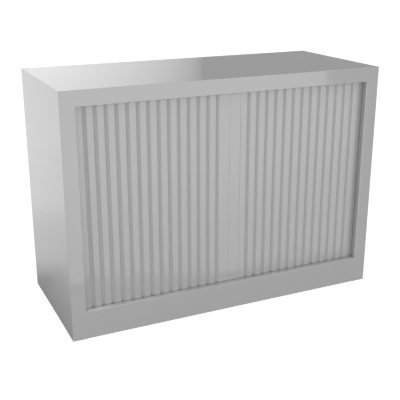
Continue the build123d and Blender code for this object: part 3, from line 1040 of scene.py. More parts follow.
# ---------------------------------------------------------------- carcass
@dataclass
class Carcass:
    """The folded steel shell: two sides, top, plinth, back, base and ceiling."""

    width: float = 1000
    depth: float = 430
    height: float = 710
    stile: float = 43
    top_rail: float = 44
    plinth_height: float = 84
    jamb: float = 19
    hem: float = 7
    tray_lip: float = 20
    flange_lap: float = 16
    floor_flange: float = 300
    top_round: float = 1.1
    top_segments: int = 4
    seam: float = 1

    @property
    def centre(self) -> Vector:
        """The middle of the shell."""
        return Vector((0, 0, self.height / 2))

    @property
    def half(self) -> float:
        """Half of the width."""
        return self.width / 2

    @property
    def opening(self) -> float:
        """Half of the opening's width."""
        return self.half - self.stile

    @property
    def front(self) -> float:
        """Where the front face is."""
        return -self.depth / 2

    @property
    def return_line(self) -> float:
        """Where the jambs end behind the front face."""
        return self.front + self.jamb

    def build(self) -> None:
        """Build every piece of the shell."""
        for side, sign in SIDES:
            self.build_side(f"{side}_side_panel", sign)
        self.build_top()
        self.build_plinth()
        self.build_back()
        self.build_tray("base_panel", FLOOR_TOP, -1)
        self.build_tray("ceiling_panel", CEILING, 1)

    def build_side(self, node: str, sign: int) -> None:
        """Build a side wall with its stile, jamb, rear flange and floor flange.

        Args:
            node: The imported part's name.
            sign: -1 on the left and 1 on the right.
        """
        inner, outer = sign * self.opening, sign * self.half
        outline = [
            (inner, -self.front),
            (outer, -self.front),
            (outer, self.front),
            (inner, self.front),
        ]
        sheet = Sheet(outline, Run.UP, 0, self.height - STEEL)
        sheet.flange(
            Vector((inner, self.front, self.plinth_height)),
            Vector((inner, self.front, self.height - self.top_rail)),
            Vector((0, self.jamb, 0)),
            Vector((sign * self.hem, 0, 0)),
        )
        reach = self.floor_flange / 2
        sheet.flange(
            Vector((outer, -reach, 0)),
            Vector((outer, reach, 0)),
            Vector((-sign * self.tray_lip, 0, 0)),
        )
        sheet.thicken(self.centre).soften(
            keep=lambda middle: middle.y < self.front + 2 * STEEL
        )
        hand_over(sheet.mesh, f"{node}_steel", STEEL_PAINT, node)

    def build_top(self) -> None:
        """Build the top with its front rail and rear flange, and its ends over the stiles."""
        back = -self.front
        outline = [
            (back, CEILING),
            (back, self.height),
            (self.front, self.height),
            (self.front, self.height - self.top_rail),
            (self.return_line, self.height - self.top_rail),
            (self.return_line, CEILING + self.flange_lap),
        ]
        sheet = Sheet(outline, Run.ACROSS, -self.opening, self.opening)
        for sign in (-1, 1):
            end = sheet.edge_at(
                *(Vector((sign * self.opening, y, self.height)) for y in (0, 1))
            )
            sheet.widen(end, Vector((sign * self.stile, 0, 0)))
            for y in (self.front, back):
                corner = Vector((sign * (self.opening + RELIEF), y, self.height))
                sheet.mark(corner, Vector((sign * self.half, y, self.height)))
                sheet.reliefs.append(corner)
        sheet.thicken(self.centre)
        ends = sharp_edges(
            sheet.mesh,
            at=lambda place: abs(place.z - self.height) < TOUCH
            and abs(place.x) > self.opening + RELIEF - TOUCH,
        )
        bevel_edges(sheet.mesh, ends, self.top_round, self.top_segments)
        hand_over(sheet.mesh, "top_panel_steel", STEEL_PAINT, "top_panel")

    def build_plinth(self) -> None:
        """Build the plinth, folded back along the floor and under the doors."""
        outline = [
            (self.return_line, 0),
            (self.front, 0),
            (self.front, self.plinth_height),
            (self.return_line, self.plinth_height),
            (self.return_line, FLOOR_TOP - self.flange_lap),
        ]
        sheet = Sheet(outline, Run.ACROSS, -self.opening, self.opening)
        sheet.thicken(Vector((0, 0, self.plinth_height / 2))).soften(
            keep=lambda middle: abs(middle.x) > self.opening - self.seam
        )
        hand_over(sheet.mesh, "plinth_steel", PLINTH_PAINT, "plinth")

    def build_back(self) -> None:
        """Build the back, which lies inside the side walls' flanges."""
        face = -self.front - STEEL
        outline = [(face - self.tray_lip, 0), (face, 0), (face, self.height - 2 * STEEL)]
        reach = self.half - 2 * STEEL
        sheet = Sheet(outline, Run.ACROSS, -reach, reach)
        sheet.thicken(self.centre).soften()
        hand_over(sheet.mesh, "back_panel_steel", STEEL_PAINT, "back_panel")

    def build_tray(self, node: str, level: float, outwards: int) -> None:
        """Build the base or the ceiling, a shallow tray with its rim turned away from the store.

        Args:
            node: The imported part's name.
            level: Its inner face.
            outwards: Which way its rim points: -1 down, 1 up.
        """
        line = [(self.return_line, level), (-self.front - 2 * STEEL, level)]
        half = self.half - STEEL
        rim = outwards * self.tray_lip
        sheet = Sheet(line, Run.ACROSS, -half, half)
        sheet.pull(sheet.mesh.edges, (0, 0, rim))
        sheet.thicken(Vector((0, 0, level + rim))).soften()
        hand_over(sheet.mesh, f"{node}_steel", INNER_PAINT, node)


# ---------------------------------------------------------------- store
@dataclass
class Store:
    """What the cabinet holds inside: liners, shelf and its clips."""

    liner_x: float = 470
    liner_front: float = -150
    liner_back: float = 205
    liner_lip: float = 9
    slot_width: float = 12
    slot_height: float = 4
    slot_pitch: float = 50
    slots_in_row: int = 9
    slot_columns: tuple[float, float] = (-110, 165)
    slot_slack: float = 1
    cut_gap: float = 1e-4
    shelf_top: float = 384
    shelf_height: float = 25
    shelf_front: float = -160
    shelf_back: float = 208
    shelf_half: float = 467.5
    shelf_lip: float = 12
    clip_width: float = 10
    clip_drop: float = 18
    clip_reach: float = 15
    clip_round: float = 0.25

    def build(self) -> None:
        """Build the liners, the shelf and its clips."""
        for side, sign in SIDES:
            self.build_liner(f"{side}_liner", sign)
        self.build_shelf()
        self.build_clips()

    def slot_levels(self) -> list[float]:
        """Work out where the slots of a column are.

        Returns:
            The middle height of each slot.
        """
        middle = self.shelf_top - STEEL - 2 * self.slot_height
        first = -(self.slots_in_row - 1) / 2
        return [middle + (first + i) * self.slot_pitch for i in range(self.slots_in_row)]

    def build_liner(self, node: str, sign: int) -> None:
        """Build an inner side wall with its two columns of clip slots.

        Args:
            node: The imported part's name.
            sign: -1 on the left and 1 on the right.
        """
        wall_x, lip_x = sign * self.liner_x, sign * (self.liner_x + self.liner_lip)
        outline = [
            (lip_x, self.liner_front),
            (wall_x, self.liner_front),
            (wall_x, self.liner_back),
            (lip_x, self.liner_back),
        ]
        sheet = Sheet(outline, Run.UP, FLOOR_TOP, CEILING)
        mesh = sheet.mesh

        def wall() -> list[BMFace]:
            """Pick the faces of the wall between the lips.

            Returns:
                The faces.
            """
            return [
                face
                for face in mesh.faces
                if all(abs(vert.co.x - wall_x) < TOUCH for vert in face.verts)
            ]

        levels = self.slot_levels()
        for middles, size, normal in (
            (self.slot_columns, self.slot_width, Vector((0, 1, 0))),
            (levels, self.slot_height, Vector((0, 0, 1))),
        ):
            for cut in [middle + end * size / 2 for middle in middles for end in (-1, 1)]:
                faces = wall()
                geometry = faces + list({edge for face in faces for edge in face.edges})
                geometry += list({vert for face in faces for vert in face.verts})
                bmesh.ops.bisect_plane(
                    mesh, geom=geometry, dist=self.cut_gap, plane_co=normal * cut, plane_no=normal
                )
        slots = []
        for face in wall():
            middle = face.calc_center_median()
            in_column = any(abs(middle.y - y) < self.slot_slack for y in self.slot_columns)
            if in_column and any(abs(middle.z - z) < self.slot_slack for z in levels):
                slots.append(face)
        bmesh.ops.delete(mesh, geom=slots, context="FACES")
        sheet.thicken(Vector((2 * wall_x, 0, self.shelf_top)))
        hand_over(mesh, f"{node}_steel", INNER_PAINT, node)

    def build_shelf(self) -> None:
        """Build the shelf, with its edges folded down and in."""
        under = self.shelf_top - self.shelf_height
        outline = [
            (self.shelf_front + self.shelf_lip, under),
            (self.shelf_front, under),
            (self.shelf_front, self.shelf_top),
            (self.shelf_back, self.shelf_top),
            (self.shelf_back, under),
            (self.shelf_back - self.shelf_lip, under),
        ]
        sheet = Sheet(outline, Run.ACROSS, -self.shelf_half, self.shelf_half)
        sheet.thicken(Vector((0, 0, 0))).soften()
        hand_over(sheet.mesh, "shelf_steel", INNER_PAINT, "shelf")

    def build_clips(self) -> None:
        """Build the four clips that hook into the slots and carry the shelf."""
        top = self.shelf_top - STEEL
        slot = top - 2 * self.slot_height
        section = Section(Run.BACK, -self.clip_width / 2)
        section.loop(
            (self.liner_x + 2 * STEEL, slot + STEEL),
            (self.liner_x, slot + STEEL),
            (self.liner_x, top),
            (self.liner_x - self.clip_reach, top),
            (self.liner_x - self.clip_reach, top - STEEL),
            (self.liner_x - STEEL, top - self.clip_drop),
            (self.liner_x, top - self.clip_drop),
            (self.liner_x, slot - STEEL),
            (self.liner_x + 2 * STEEL, slot - STEEL),
        )
        section.fill()
        section.stretch(self.clip_width)
        section.join_flat()
        master = section.mesh
        bevel_edges(master, sharp_edges(master, above=CORNER_ABOVE), self.clip_round)
        mesh = bmesh.new()
        for sign in (-1, 1):
            for y in self.slot_columns:
                clip = master.copy()
                resize(clip, (sign, 1, 1))
                move(clip, (0, y, 0))
                add_copy(mesh, clip)
        master.free()
        hand_over(mesh, "shelf_clips_steel", ZINC_STEEL, "shelf_clips")


# ---------------------------------------------------------------- tracks
@dataclass
class Tracks:
    """The plastic tracks of the doors, their screws and the stops at their ends."""

    width: float = 12
    height: float = 12
    groove_width: float = 4.6
    groove_depth: float = 8
    mouth_round: float = 0.4
    corner_steps: int = 14
    hinge_y: float = -187
    end_y: float = 206
    end_gap: float = 1
    levels: tuple[tuple[str, float, int], ...] = (("bottom", FLOOR_TOP, 1), ("top", CEILING, -1))
    front_screws: tuple[float, ...] = (-380, 0, 380)
    side_screw_y: float = 60
    screw_head: float = 3.2
    screw_head_height: float = 2
    screw_round: float = 0.3
    screw_shank: float = 1.5
    screw_reach: float = 3.4
    screw_overlap: float = 0.5
    stop_length: float = 6
    stop_round: float = 0.7

    @property
    def side_run_x(self) -> float:
        """How far from the middle the tracks run back along the walls."""
        return CORNER_X + CORNER_RADIUS

    def build(self) -> None:
        """Build the tracks, the stops and the screws."""
        for end, level, upwards in self.levels:
            self.build_front(f"{end}_front_track", level, upwards)
            for side, sign in SIDES:
                self.build_side(f"{side}_{end}_side_track", level, upwards, sign)
        self.build_stops()
        self.build_screws()

    def section(self, x: float, level: float, upwards: int) -> Section:
        """Draw a track's section, about the line that the hinge pins follow.

        Args:
            x: Where the section stands.
            level: The tray's face that it lies on.
            upwards: 1 at the floor and -1 at the ceiling.

        Returns:
            The filled section.
        """
        half, groove = self.width / 2, self.groove_width / 2
        rim = level + upwards * self.height
        floor = rim - upwards * self.groove_depth
        section = Section(Run.ACROSS, x)
        section.loop(
            (self.hinge_y - half, level),
            (self.hinge_y + half, level),
            (self.hinge_y + half, rim),
            (self.hinge_y + groove, rim),
            (self.hinge_y + groove, floor),
            (self.hinge_y - groove, floor),
            (self.hinge_y - groove, rim),
            (self.hinge_y - half, rim),
        )
        section.fill()
        return section

    def finish(self, mesh: BMesh, node: str, rim: float) -> None:
        """Round a track's rim and the mouth of its groove, and hand it over.

        Args:
            mesh: The track's mesh.
            node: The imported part's name.
            rim: The level of its rim.
        """
        edges = sharp_edges(mesh, at=lambda place: abs(place.z - rim) < TOUCH)
        bevel_edges(mesh, edges, self.mouth_round)
        hand_over(mesh, f"{node}_plastic", TRACK_PLASTIC, node)

    def build_front(self, node: str, level: float, upwards: int) -> None:
        """Build a straight front track.

        Args:
            node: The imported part's name.
            level: The tray's face that it lies on.
            upwards: 1 at the floor and -1 at the ceiling.
        """
        section = self.section(-CORNER_X, level, upwards)
        section.stretch(2 * CORNER_X)
        self.finish(section.mesh, node, level + upwards * self.height)

    def build_side(self, node: str, level: float, upwards: int, sign: int) -> None:
        """Build a side track, which turns the corner and runs back along the wall.

        Args:
            node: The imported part's name.
            level: The tray's face that it lies on.
            upwards: 1 at the floor and -1 at the ceiling.
            sign: -1 on the left and 1 on the right.
        """
        section = self.section(sign * CORNER_X, level, upwards)
        section.join_flat()
        mesh = section.mesh
        turned = bmesh.ops.spin(
            mesh,
            geom=mesh.faces[:] + mesh.edges[:],
            cent=(sign * CORNER_X, self.hinge_y + CORNER_RADIUS, 0),
            axis=(0, 0, 1),
            angle=sign * math.pi / 2,
            steps=self.corner_steps,
            use_merge=False,
        )
        straight = self.end_y - self.hinge_y - CORNER_RADIUS
        stretch_faces(mesh, pick(BMFace, turned["geom_last"]), Vector((0, straight, 0)))
        self.finish(mesh, node, level + upwards * self.height)

    def build_stops(self) -> None:
        """Build the rubber stops at the back ends of the grooves."""
        mesh = bmesh.new()
        reach = self.groove_depth - self.end_gap
        for _, level, upwards in self.levels:
            middle = level + upwards * (self.height - self.groove_depth + reach / 2)
            for sign in (-1, 1):
                stop = bmesh.new()
                bmesh.ops.create_cube(stop, size=1)
                resize(stop, (self.groove_width, self.stop_length, reach))
                move(stop, (sign * self.side_run_x, self.end_y - self.stop_length / 2, middle))
                bevel_edges(stop, stop.edges[:], self.stop_round, ROUND_SEGMENTS)
                add_copy(mesh, stop)
        hand_over(mesh, "curtain_stops_rubber", STOP_RUBBER, "curtain_stops")

    def build_screws(self) -> None:
        """Build the hexagon-headed screws that hold the tracks."""
        mesh = bmesh.new()
        places = [(x, self.hinge_y) for x in self.front_screws]
        places += [(sign * self.side_run_x, self.side_screw_y) for sign in (-1, 1)]
        for _, level, upwards in self.levels:
            for place in places:
                screw = self.screw()
                resize(screw, (1, 1, -upwards))
                move(screw, (*place, level - upwards * STEEL))
                add_copy(mesh, screw)
        hand_over(mesh, "track_screws_steel", ZINC_STEEL, "track_screws")

    def screw(self) -> BMesh:
        """Shape one screw, with its head standing on the origin and its shank below.

        Returns:
            The screw's mesh.
        """
        screw = bmesh.new()
        add_rod(screw, self.screw_head, self.screw_head_height, 6)
        bevel_edges(screw, screw.edges[:], self.screw_round)
        move(screw, (0, 0, self.screw_head_height / 2))
        length = STEEL + self.screw_reach + self.screw_overlap
        shank = add_rod(screw, self.screw_shank, length, PIN_SEGMENTS)
        drop = self.screw_overlap - length / 2
        bmesh.ops.translate(screw, vec=(0, 0, drop), verts=shank)
        return screw


# ---------------------------------------------------------------- feet
@dataclass
class Feet:
    """The four levelling feet, with turned threads, and the nuts that they screw into."""

    x: float = 430
    y: float = 150
    flats: float = 24
    head: float = 8
    head_round: float = 0.8
    stem_top: float = 63.8
    thread_radius: float = 5.0
    thread_depth: float = 0.75
    flank_share: float = 0.4
    pitch: float = 1.5
    steps_per_turn: int = 20
    nut_flats: float = 17
    nut_height: float = 20
    nut_top: float = 64.8
    nut_bore: float = 5.1
    nut_round: float = 0.7
    bore_segments: int = 30

    def build(self) -> None:
        """Build the feet and the nuts."""
        for row, row_sign in (("front", -1), ("rear", 1)):
            for side, side_sign in SIDES:
                place = (side_sign * self.x, row_sign * self.y, 0)
                self.build_foot(f"{row}_{side}_foot", place)
        self.build_nuts()

    def hexagon(self, flats: float, filled: bool) -> BMesh:
        """Start a mesh with a flat hexagon.

        Args:
            flats: Its size across the flats.
            filled: Whether it has a face.

        Returns:
            The mesh.
        """
        mesh = bmesh.new()
        bmesh.ops.create_circle(mesh, cap_ends=filled, radius=flats / math.sqrt(3), segments=6)
        turn = Matrix.Rotation(math.pi / 6, 3, "Z")
        bmesh.ops.rotate(mesh, verts=mesh.verts[:], cent=(0, 0, 0), matrix=turn)
        return mesh

    def build_foot(self, node: str, place: Place) -> None:
        """Build one foot: a hexagon head to stand on, under a threaded stem.

        Args:
            node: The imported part's name.
            place: Where it stands.
        """
        mesh = self.hexagon(self.flats, True)
        stretch_faces(mesh, mesh.faces[:], Vector((0, 0, self.head)))
        bevel_edges(mesh, mesh.edges[:], self.head_round, ROUND_SEGMENTS)
        add_copy(mesh, self.thread())
        move(mesh, place)
        hand_over(mesh, f"{node}_steel", ZINC_STEEL, node)

    def thread(self) -> BMesh:
        """Turn the stem's thread: a tooth's line, spun about the axis and fed upwards.

        Returns:
            The stem's mesh.
        """
        mesh = bmesh.new()
        root = self.thread_radius - self.thread_depth
        flank = self.flank_share * self.pitch
        tip = mesh.verts.new((root, 0, 0))
        for radius, height in (
            (self.thread_radius, flank),
            (self.thread_radius, self.pitch - flank),
            (root, self.pitch),
        ):
            tip = bmesh.ops.extrude_vert_indiv(mesh, verts=[tip])["verts"][0]
            tip.co = (radius, 0, height)
        start = self.head - self.pitch / 2
        turns = (self.stem_top - start - self.pitch) / self.pitch
        steps = round(turns * self.steps_per_turn)
        bmesh.ops.spin(
            mesh,
            geom=mesh.verts[:] + mesh.edges[:],
            cent=(0, 0, 0),
            axis=(0, 0, 1),
            dvec=(0, 0, turns * self.pitch / steps),
            angle=2 * math.pi * turns,
            steps=steps,
            use_merge=False,
        )
        bmesh.ops.remove_doubles(mesh, verts=mesh.verts[:], dist=TOUCH)
        move(mesh, (0, 0, start))
        rims = [edge for edge in mesh.edges if edge.is_boundary]
        bmesh.ops.holes_fill(mesh, edges=rims, sides=0)
        return mesh

    def build_nuts(self) -> None:
        """Build the weld nuts under the base."""
        mesh = bmesh.new()
        for x in (-self.x, self.x):
            for y in (-self.y, self.y):
                nut = self.hexagon(self.nut_flats, False)
                bmesh.ops.create_circle(
                    nut, cap_ends=False, radius=self.nut_bore, segments=self.bore_segments
                )
                bmesh.ops.bridge_loops(nut, edges=nut.edges[:])
                stretch_faces(nut, nut.faces[:], Vector((0, 0, -self.nut_height)))
                outer = sharp_edges(
                    nut,
                    at=lambda place: place.xy.length > self.nut_flats / 2,
                    above=CORNER_ABOVE,
                )
                bevel_edges(nut, outer, self.nut_round)
                move(nut, (x, y, self.nut_top))
                add_copy(mesh, nut)
        hand_over(mesh, "foot_nuts_steel", ZINC_STEEL, "foot_nuts")


# ---------------------------------------------------------------- tambour doors
@dataclass
class Tambour:
    """The two curtains of hooked slats, their leading edges and their glides."""

    pitch: float = 30
    rib: float = 21
    rib_corner: float = 1.2
    flank: float = 5.5
    flank_drop: float = 2.8
    face_wall: float = 1.85
    meeting_corner: float = 0.2
    depth: float = 10.4
    hinge_depth: float = 7
    hinge_inset: float = 3
    bead: float = 1.85
    bead_slack: float = 0.05
    socket: float = 2.15
    hook: float = 3.35
    mouth_front: float = 210
    mouth_back: float = 105
    tongue: float = 1.4
    shoulder_depth: float = 4.6
    shoulder_rise: float = 1.6
    shoulder_gap: float = 0.05
    nose_width: float = 6
    wall: float = 1.4
    slats: int = 15
    lead_width: float = 35
    left_lead_x: float = -36.25
    right_lead_x: float = -0.75
    meeting_gap: float = 0.5
    meeting_cover: float = 0.3
    running_gap: float = 0.4
    lip_reach: float = 3.5
    face_y: float = -194
    bottom: float = 79
    top: float = 671
    pin: float = 8
    plug: float = 14
    plug_round: float = 0.6
    keel: float = 18
    keel_round: float = 1.6
    glide_plate: float = 0.6
    plate_round: float = 0.2
    flank_steps: int = 6
    corner_steps: int = 4
    nose_steps: int = 8
    hook_steps: int = 4
    socket_steps: int = 12
    bead_steps: int = 14
    neck_steps: int = 2

    @property
    def length(self) -> float:
        """The length of a slat without its pins."""
        return self.top - self.bottom

    @property
    def ends(self) -> tuple[tuple[float, int], ...]:
        """The level of each end of a slat, and which way it faces."""
        return ((self.bottom, -1), (self.top, 1))

    @property
    def hinge_y(self) -> float:
        """Where the hinge line is behind the front."""
        return self.face_y + self.hinge_depth

    @property
    def flank_radius(self) -> float:
        """The radius of a rib's rounded flanks, which run smoothly into its face."""
        return (self.flank**2 + self.flank_drop**2) / (2 * self.flank_drop)

    @property
    def flank_turn(self) -> float:
        """How far a flank turns, in degrees."""
        return math.degrees(math.asin(self.flank / self.flank_radius))

    @property
    def neck(self) -> float:
        """How far before a bead's middle its tongue runs into it."""
        return math.sqrt(self.bead**2 - (self.tongue / 2) ** 2)

    @property
    def neck_turn(self) -> float:
        """How much of the bead's circle the tongue takes, in degrees."""
        return 2 * math.degrees(math.atan2(self.tongue / 2, self.neck))

    def build(self) -> None:
        """Build both curtains."""
        plain, closed = self.slat_mesh(), self.slat_mesh(closed=True)
        first = self.slat_mesh(flush=True)
        left_hinge, right_hinge = self.pitch + self.hinge_inset, self.hinge_inset
        for number in range(1, self.slats + 1):
            last = number == self.slats
            left_x = self.left_lead_x - number * self.pitch
            swing = -self.corner_swing(-(left_x + left_hinge)) if last else 0
            master = closed if last else plain
            self.place_slat(master, f"left_slat_{number:02d}", left_x, left_hinge, swing)
            right_x = self.right_lead_x + self.lead_width + (number - 1) * self.pitch
            swing = self.corner_swing(right_x + right_hinge) if last else 0
            master = first if number == 1 else plain
            self.place_slat(master, f"right_slat_{number:02d}", right_x, right_hinge, swing)
        for master in (plain, closed, first):
            master.free()
        self.build_left_lead()
        self.build_right_lead()
        hollow = (self.nose_width + self.wall, self.lead_width - self.wall)
        self.build_glides("left_door_glides", self.left_lead_x, *hollow)
        hollow = (
            self.lip_reach + self.meeting_gap + self.wall,
            self.lead_width - self.running_gap - self.wall,
        )
        self.build_glides("right_door_glides", self.right_lead_x, *hollow)

    def corner_swing(self, hinge_x: float) -> float:
        """Work out the last slat's turn into the corner.

        Args:
            hinge_x: Where its first hinge is on the front run. Its next one is on the arc.

        Returns:
            The turn, in radians.
        """
        across = CORNER_X - hinge_x
        reach = math.hypot(across, CORNER_RADIUS)
        inner = (self.pitch**2 + reach**2 - CORNER_RADIUS**2) / (2 * self.pitch * reach)
        return math.atan2(CORNER_RADIUS, across) - math.acos(inner)

    def draw_face(self, section: Section) -> None:
        """Start a section at its left flank and draw on to its flat face."""
        section.start(0, self.flank_drop)
        section.arc((self.flank, self.flank_radius), self.flank_turn, self.flank_steps)

    def draw_hook(self, section: Section, closed: bool) -> None:
        """Draw the hook at a section's left end, from its back wall round to its nose.

        Args:
            section: The section, which has come to the notch at the back left.
            closed: Whether the end is closed, with a bead of its own in place of the socket.
        """
        centre = (self.hinge_inset, self.hinge_depth)
        across = self.nose_width - self.hinge_inset
        start = math.degrees(math.acos(across / self.hook))
        section.line((self.nose_width, self.hinge_depth + math.sqrt(self.hook**2 - across**2)))
        if closed:
            section.arc(centre, self.mouth_front - start, self.nose_steps)
        else:
            section.arc(centre, self.mouth_back - start, self.hook_steps)
            turn = math.radians(self.mouth_back)
            inner = Vector((math.cos(turn), math.sin(turn))) * self.socket
            section.line((centre[0] + inner.x, centre[1] + inner.y))
            section.arc(centre, self.mouth_front - self.mouth_back - 360, self.socket_steps)
        rise = math.tan(math.radians(self.mouth_front - 180)) * self.hinge_inset
        section.line((0, self.hinge_depth - rise))

    def draw_tongue(self, section: Section, wall_x: float, bead_x: float) -> None:
        """Draw the tongue from a section's right wall to its bead and back.

        Args:
            section: The section, which has come to the tongue's front face.
            wall_x: Where the section's right wall is.
            bead_x: Where the bead's middle is.
        """
        section.line((bead_x - self.neck, self.hinge_depth - self.tongue / 2))
        section.arc((bead_x, self.hinge_depth), -self.neck_turn, self.neck_steps)
        section.line((wall_x, self.hinge_depth + self.tongue / 2))

    def add_bead(self, section: Section, bead_x: float) -> None:
        """Add the bead's own disc, which the tongue's end fits.

        Args:
            section: The section, filled so far.
            bead_x: Where the bead's middle is.
        """
        section.start(bead_x - self.neck, self.hinge_depth - self.tongue / 2)
        section.arc((bead_x, self.hinge_depth), 360 - self.neck_turn, self.bead_steps)
        section.arc((bead_x, self.hinge_depth), self.neck_turn, self.neck_steps)
        section.close()
        section.fill()

    def fill_around(self, section: Section, start: float, end: float) -> None:
        """Close a section and fill it round the hollow between its two upright walls.

        Args:
            section: The section, whose outline is drawn.
            start: Where the hollow starts.
            end: Where the hollow ends.
        """
        section.close()
        back = self.depth - self.wall
        section.loop(
            (start, self.face_wall), (end, self.face_wall), (end, back), (start, back)
        )
        section.fill()

    def run_out(self, section: Section, bead_x: float) -> None:
        """Add a section's bead and run it out to a slat's length, with the bead on as its pins.

        Args:
            section: The filled section, at the slat's foot.
            bead_x: Where the bead's middle is.
        """
        self.add_bead(section, bead_x)
        mesh = section.mesh
        bmesh.ops.remove_doubles(mesh, verts=mesh.verts[:], dist=TOUCH)
        foot = mesh.faces[:]
        head = section.stretch(self.length)
        middle = Vector((bead_x, self.hinge_depth))
        reach = self.bead + self.bead_slack
        for faces, step in ((head, self.pin), (foot, -self.pin)):
            ends = [
                face
                for face in faces
                if face.is_valid
                and all((vert.co.xy - middle).length < reach for vert in face.verts)
            ]
            stretch_faces(mesh, ends, Vector((0, 0, step)))

    def slat_mesh(self, closed: bool = False, flush: bool = False) -> BMesh:
        """Shape a slat in its own section's frame, with its foot at the bottom level.

        Args:
            closed: Whether its left end is closed.
            flush: Whether its left edge lies flush beside the leading edge.

        Returns:
            The slat's mesh.
        """
        section = Section(Run.UP, self.bottom)
        if flush:
            section.start(0, 0)
        else:
            self.draw_face(section)
        section.line((self.rib - self.rib_corner, 0))
        section.arc((self.rib - self.rib_corner, self.rib_corner), 90, self.corner_steps)
        bead_x = self.pitch + self.hinge_inset
        shoulder = self.pitch - self.shoulder_gap
        section.line(
            (self.rib, self.shoulder_depth),
            (shoulder, self.shoulder_depth - self.shoulder_rise),
            (shoulder, self.hinge_depth - self.tongue / 2),
        )
        self.draw_tongue(section, self.rib, bead_x)
        section.line((self.rib, self.depth), (self.nose_width, self.depth))
        self.draw_hook(section, closed)
        self.fill_around(section, self.nose_width + self.wall, self.rib - self.wall)
        self.run_out(section, bead_x)
        if closed:
            self.add_own_pins(section.mesh)
        if flush:
            section.round_corners(self.meeting_corner, (0, 0))
        depth = section.mesh.verts.layers.float.new(SECTION_DEPTH)
        for vert in section.mesh.verts:
            vert[depth] = vert.co.y
        return section.mesh

    def add_own_pins(self, mesh: BMesh) -> None:
        """Add the guide pins of a closed end.

        Args:
            mesh: The slat's mesh.
        """
        reach = self.pin + self.wall
        for level, outwards in self.ends:
            pin = add_rod(mesh, self.bead, reach, PIN_SEGMENTS)
            height = level + outwards * (self.pin - reach / 2)
            place = (self.hinge_inset, self.hinge_depth, height)
            bmesh.ops.translate(mesh, vec=place, verts=pin)

    def place_slat(
        self, master: BMesh, node: str, x: float, hinge_x: float, swing: float
    ) -> None:
        """Copy a slat to its place in a curtain.

        Args:
            master: The shaped slat.
            node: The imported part's name.
            x: Where its section starts.
            hinge_x: The hinge about which it turns, in its section.
            swing: How far it turns, in radians.
        """
        mesh = master.copy()
        here = Vector((hinge_x, self.hinge_depth, 0))
        there = Vector((x + hinge_x, self.hinge_y, 0))
        turn = Matrix.Rotation(swing, 4, "Z")
        matrix = Matrix.Translation(there) @ turn @ Matrix.Translation(-here)
        bmesh.ops.transform(mesh, matrix=matrix, verts=mesh.verts[:])
        hand_over(mesh, f"{node}_plastic", SLAT_PLASTIC, node)

    def build_left_lead(self) -> None:
        """Build the left door's leading edge, whose lip reaches behind the right one."""
        lip = self.hinge_depth + self.running_gap
        width = self.lead_width
        section = Section(Run.UP, self.bottom)
        self.draw_face(section)
        section.line(
            (width, 0),
            (width, lip),
            (width + self.lip_reach, lip),
            (width + self.lip_reach, lip + self.wall),
            (width, lip + self.wall),
            (width, self.depth),
            (self.nose_width, self.depth),
        )
        self.draw_hook(section, False)
        self.fill_around(section, self.nose_width + self.wall, width - self.wall)
        section.stretch(self.length)
        section.round_corners(self.meeting_corner, (width, 0))
        move(section.mesh, (self.left_lead_x, self.face_y, 0))
        hand_over(section.mesh, "left_leading_edge_steel", EDGE_PAINT, "left_leading_edge")

    def build_right_lead(self) -> None:
        """Build the right door's leading edge, with a tongue into its first slat."""
        width = self.lead_width - self.running_gap
        start = -self.meeting_cover
        notch = self.lip_reach + self.meeting_gap
        bead_x = self.lead_width + self.hinge_inset
        section = Section(Run.UP, self.bottom)
        section.start(start, 0)
        section.line((width, 0), (width, self.hinge_depth - self.tongue / 2))
        self.draw_tongue(section, width, bead_x)
        section.line(
            (width, self.depth),
            (notch, self.depth),
            (notch, self.hinge_depth),
            (start, self.hinge_depth),
        )
        self.fill_around(section, notch + self.wall, width - self.wall)
        self.run_out(section, bead_x)
        section.round_corners(self.meeting_corner, (start, 0), (width, 0))
        move(section.mesh, (self.right_lead_x, self.face_y, 0))
        hand_over(section.mesh, "right_leading_edge_steel", EDGE_PAINT, "right_leading_edge")

    def build_glides(self, node: str, lead_x: float, start: float, end: float) -> None:
        """Build a leading edge's two end plugs, each with a keel that slides in the track.

        Args:
            node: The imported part's name.
            lead_x: Where the leading edge starts.
            start: Where its hollow starts.
            end: Where its hollow ends.
        """
        mesh = bmesh.new()
        deep = self.depth - self.wall - self.face_wall
        wide = end - start
        x = lead_x + (start + end) / 2
        y = self.face_y + self.face_wall + deep / 2
        gap, plate = self.running_gap, self.glide_plate
        blocks = (
            (y, (wide - gap, deep - gap), (-self.plug, 0.0), self.plug_round),
            (y, (wide + self.wall, deep + self.wall), (0.0, plate), self.plate_round),
            (self.hinge_y, (self.keel, 2 * self.bead), (plate, self.pin), self.keel_round),
        )
        for level, outwards in self.ends:
            for middle_y, size, (low, high), rounding in blocks:
                block = bmesh.new()
                bmesh.ops.create_cube(block, size=1)
                resize(block, (*size, high - low))
                upright = [
                    edge
                    for edge in block.edges
                    if abs(edge.verts[0].co.z - edge.verts[1].co.z) > 0.5 * (high - low)
                ]
                bevel_edges(block, upright, rounding, self.corner_steps)
                move(block, (x, middle_y, level + outwards * (low + high) / 2))
                add_copy(mesh, block)
        hand_over(mesh, f"{node}_plastic", TRACK_PLASTIC, node)


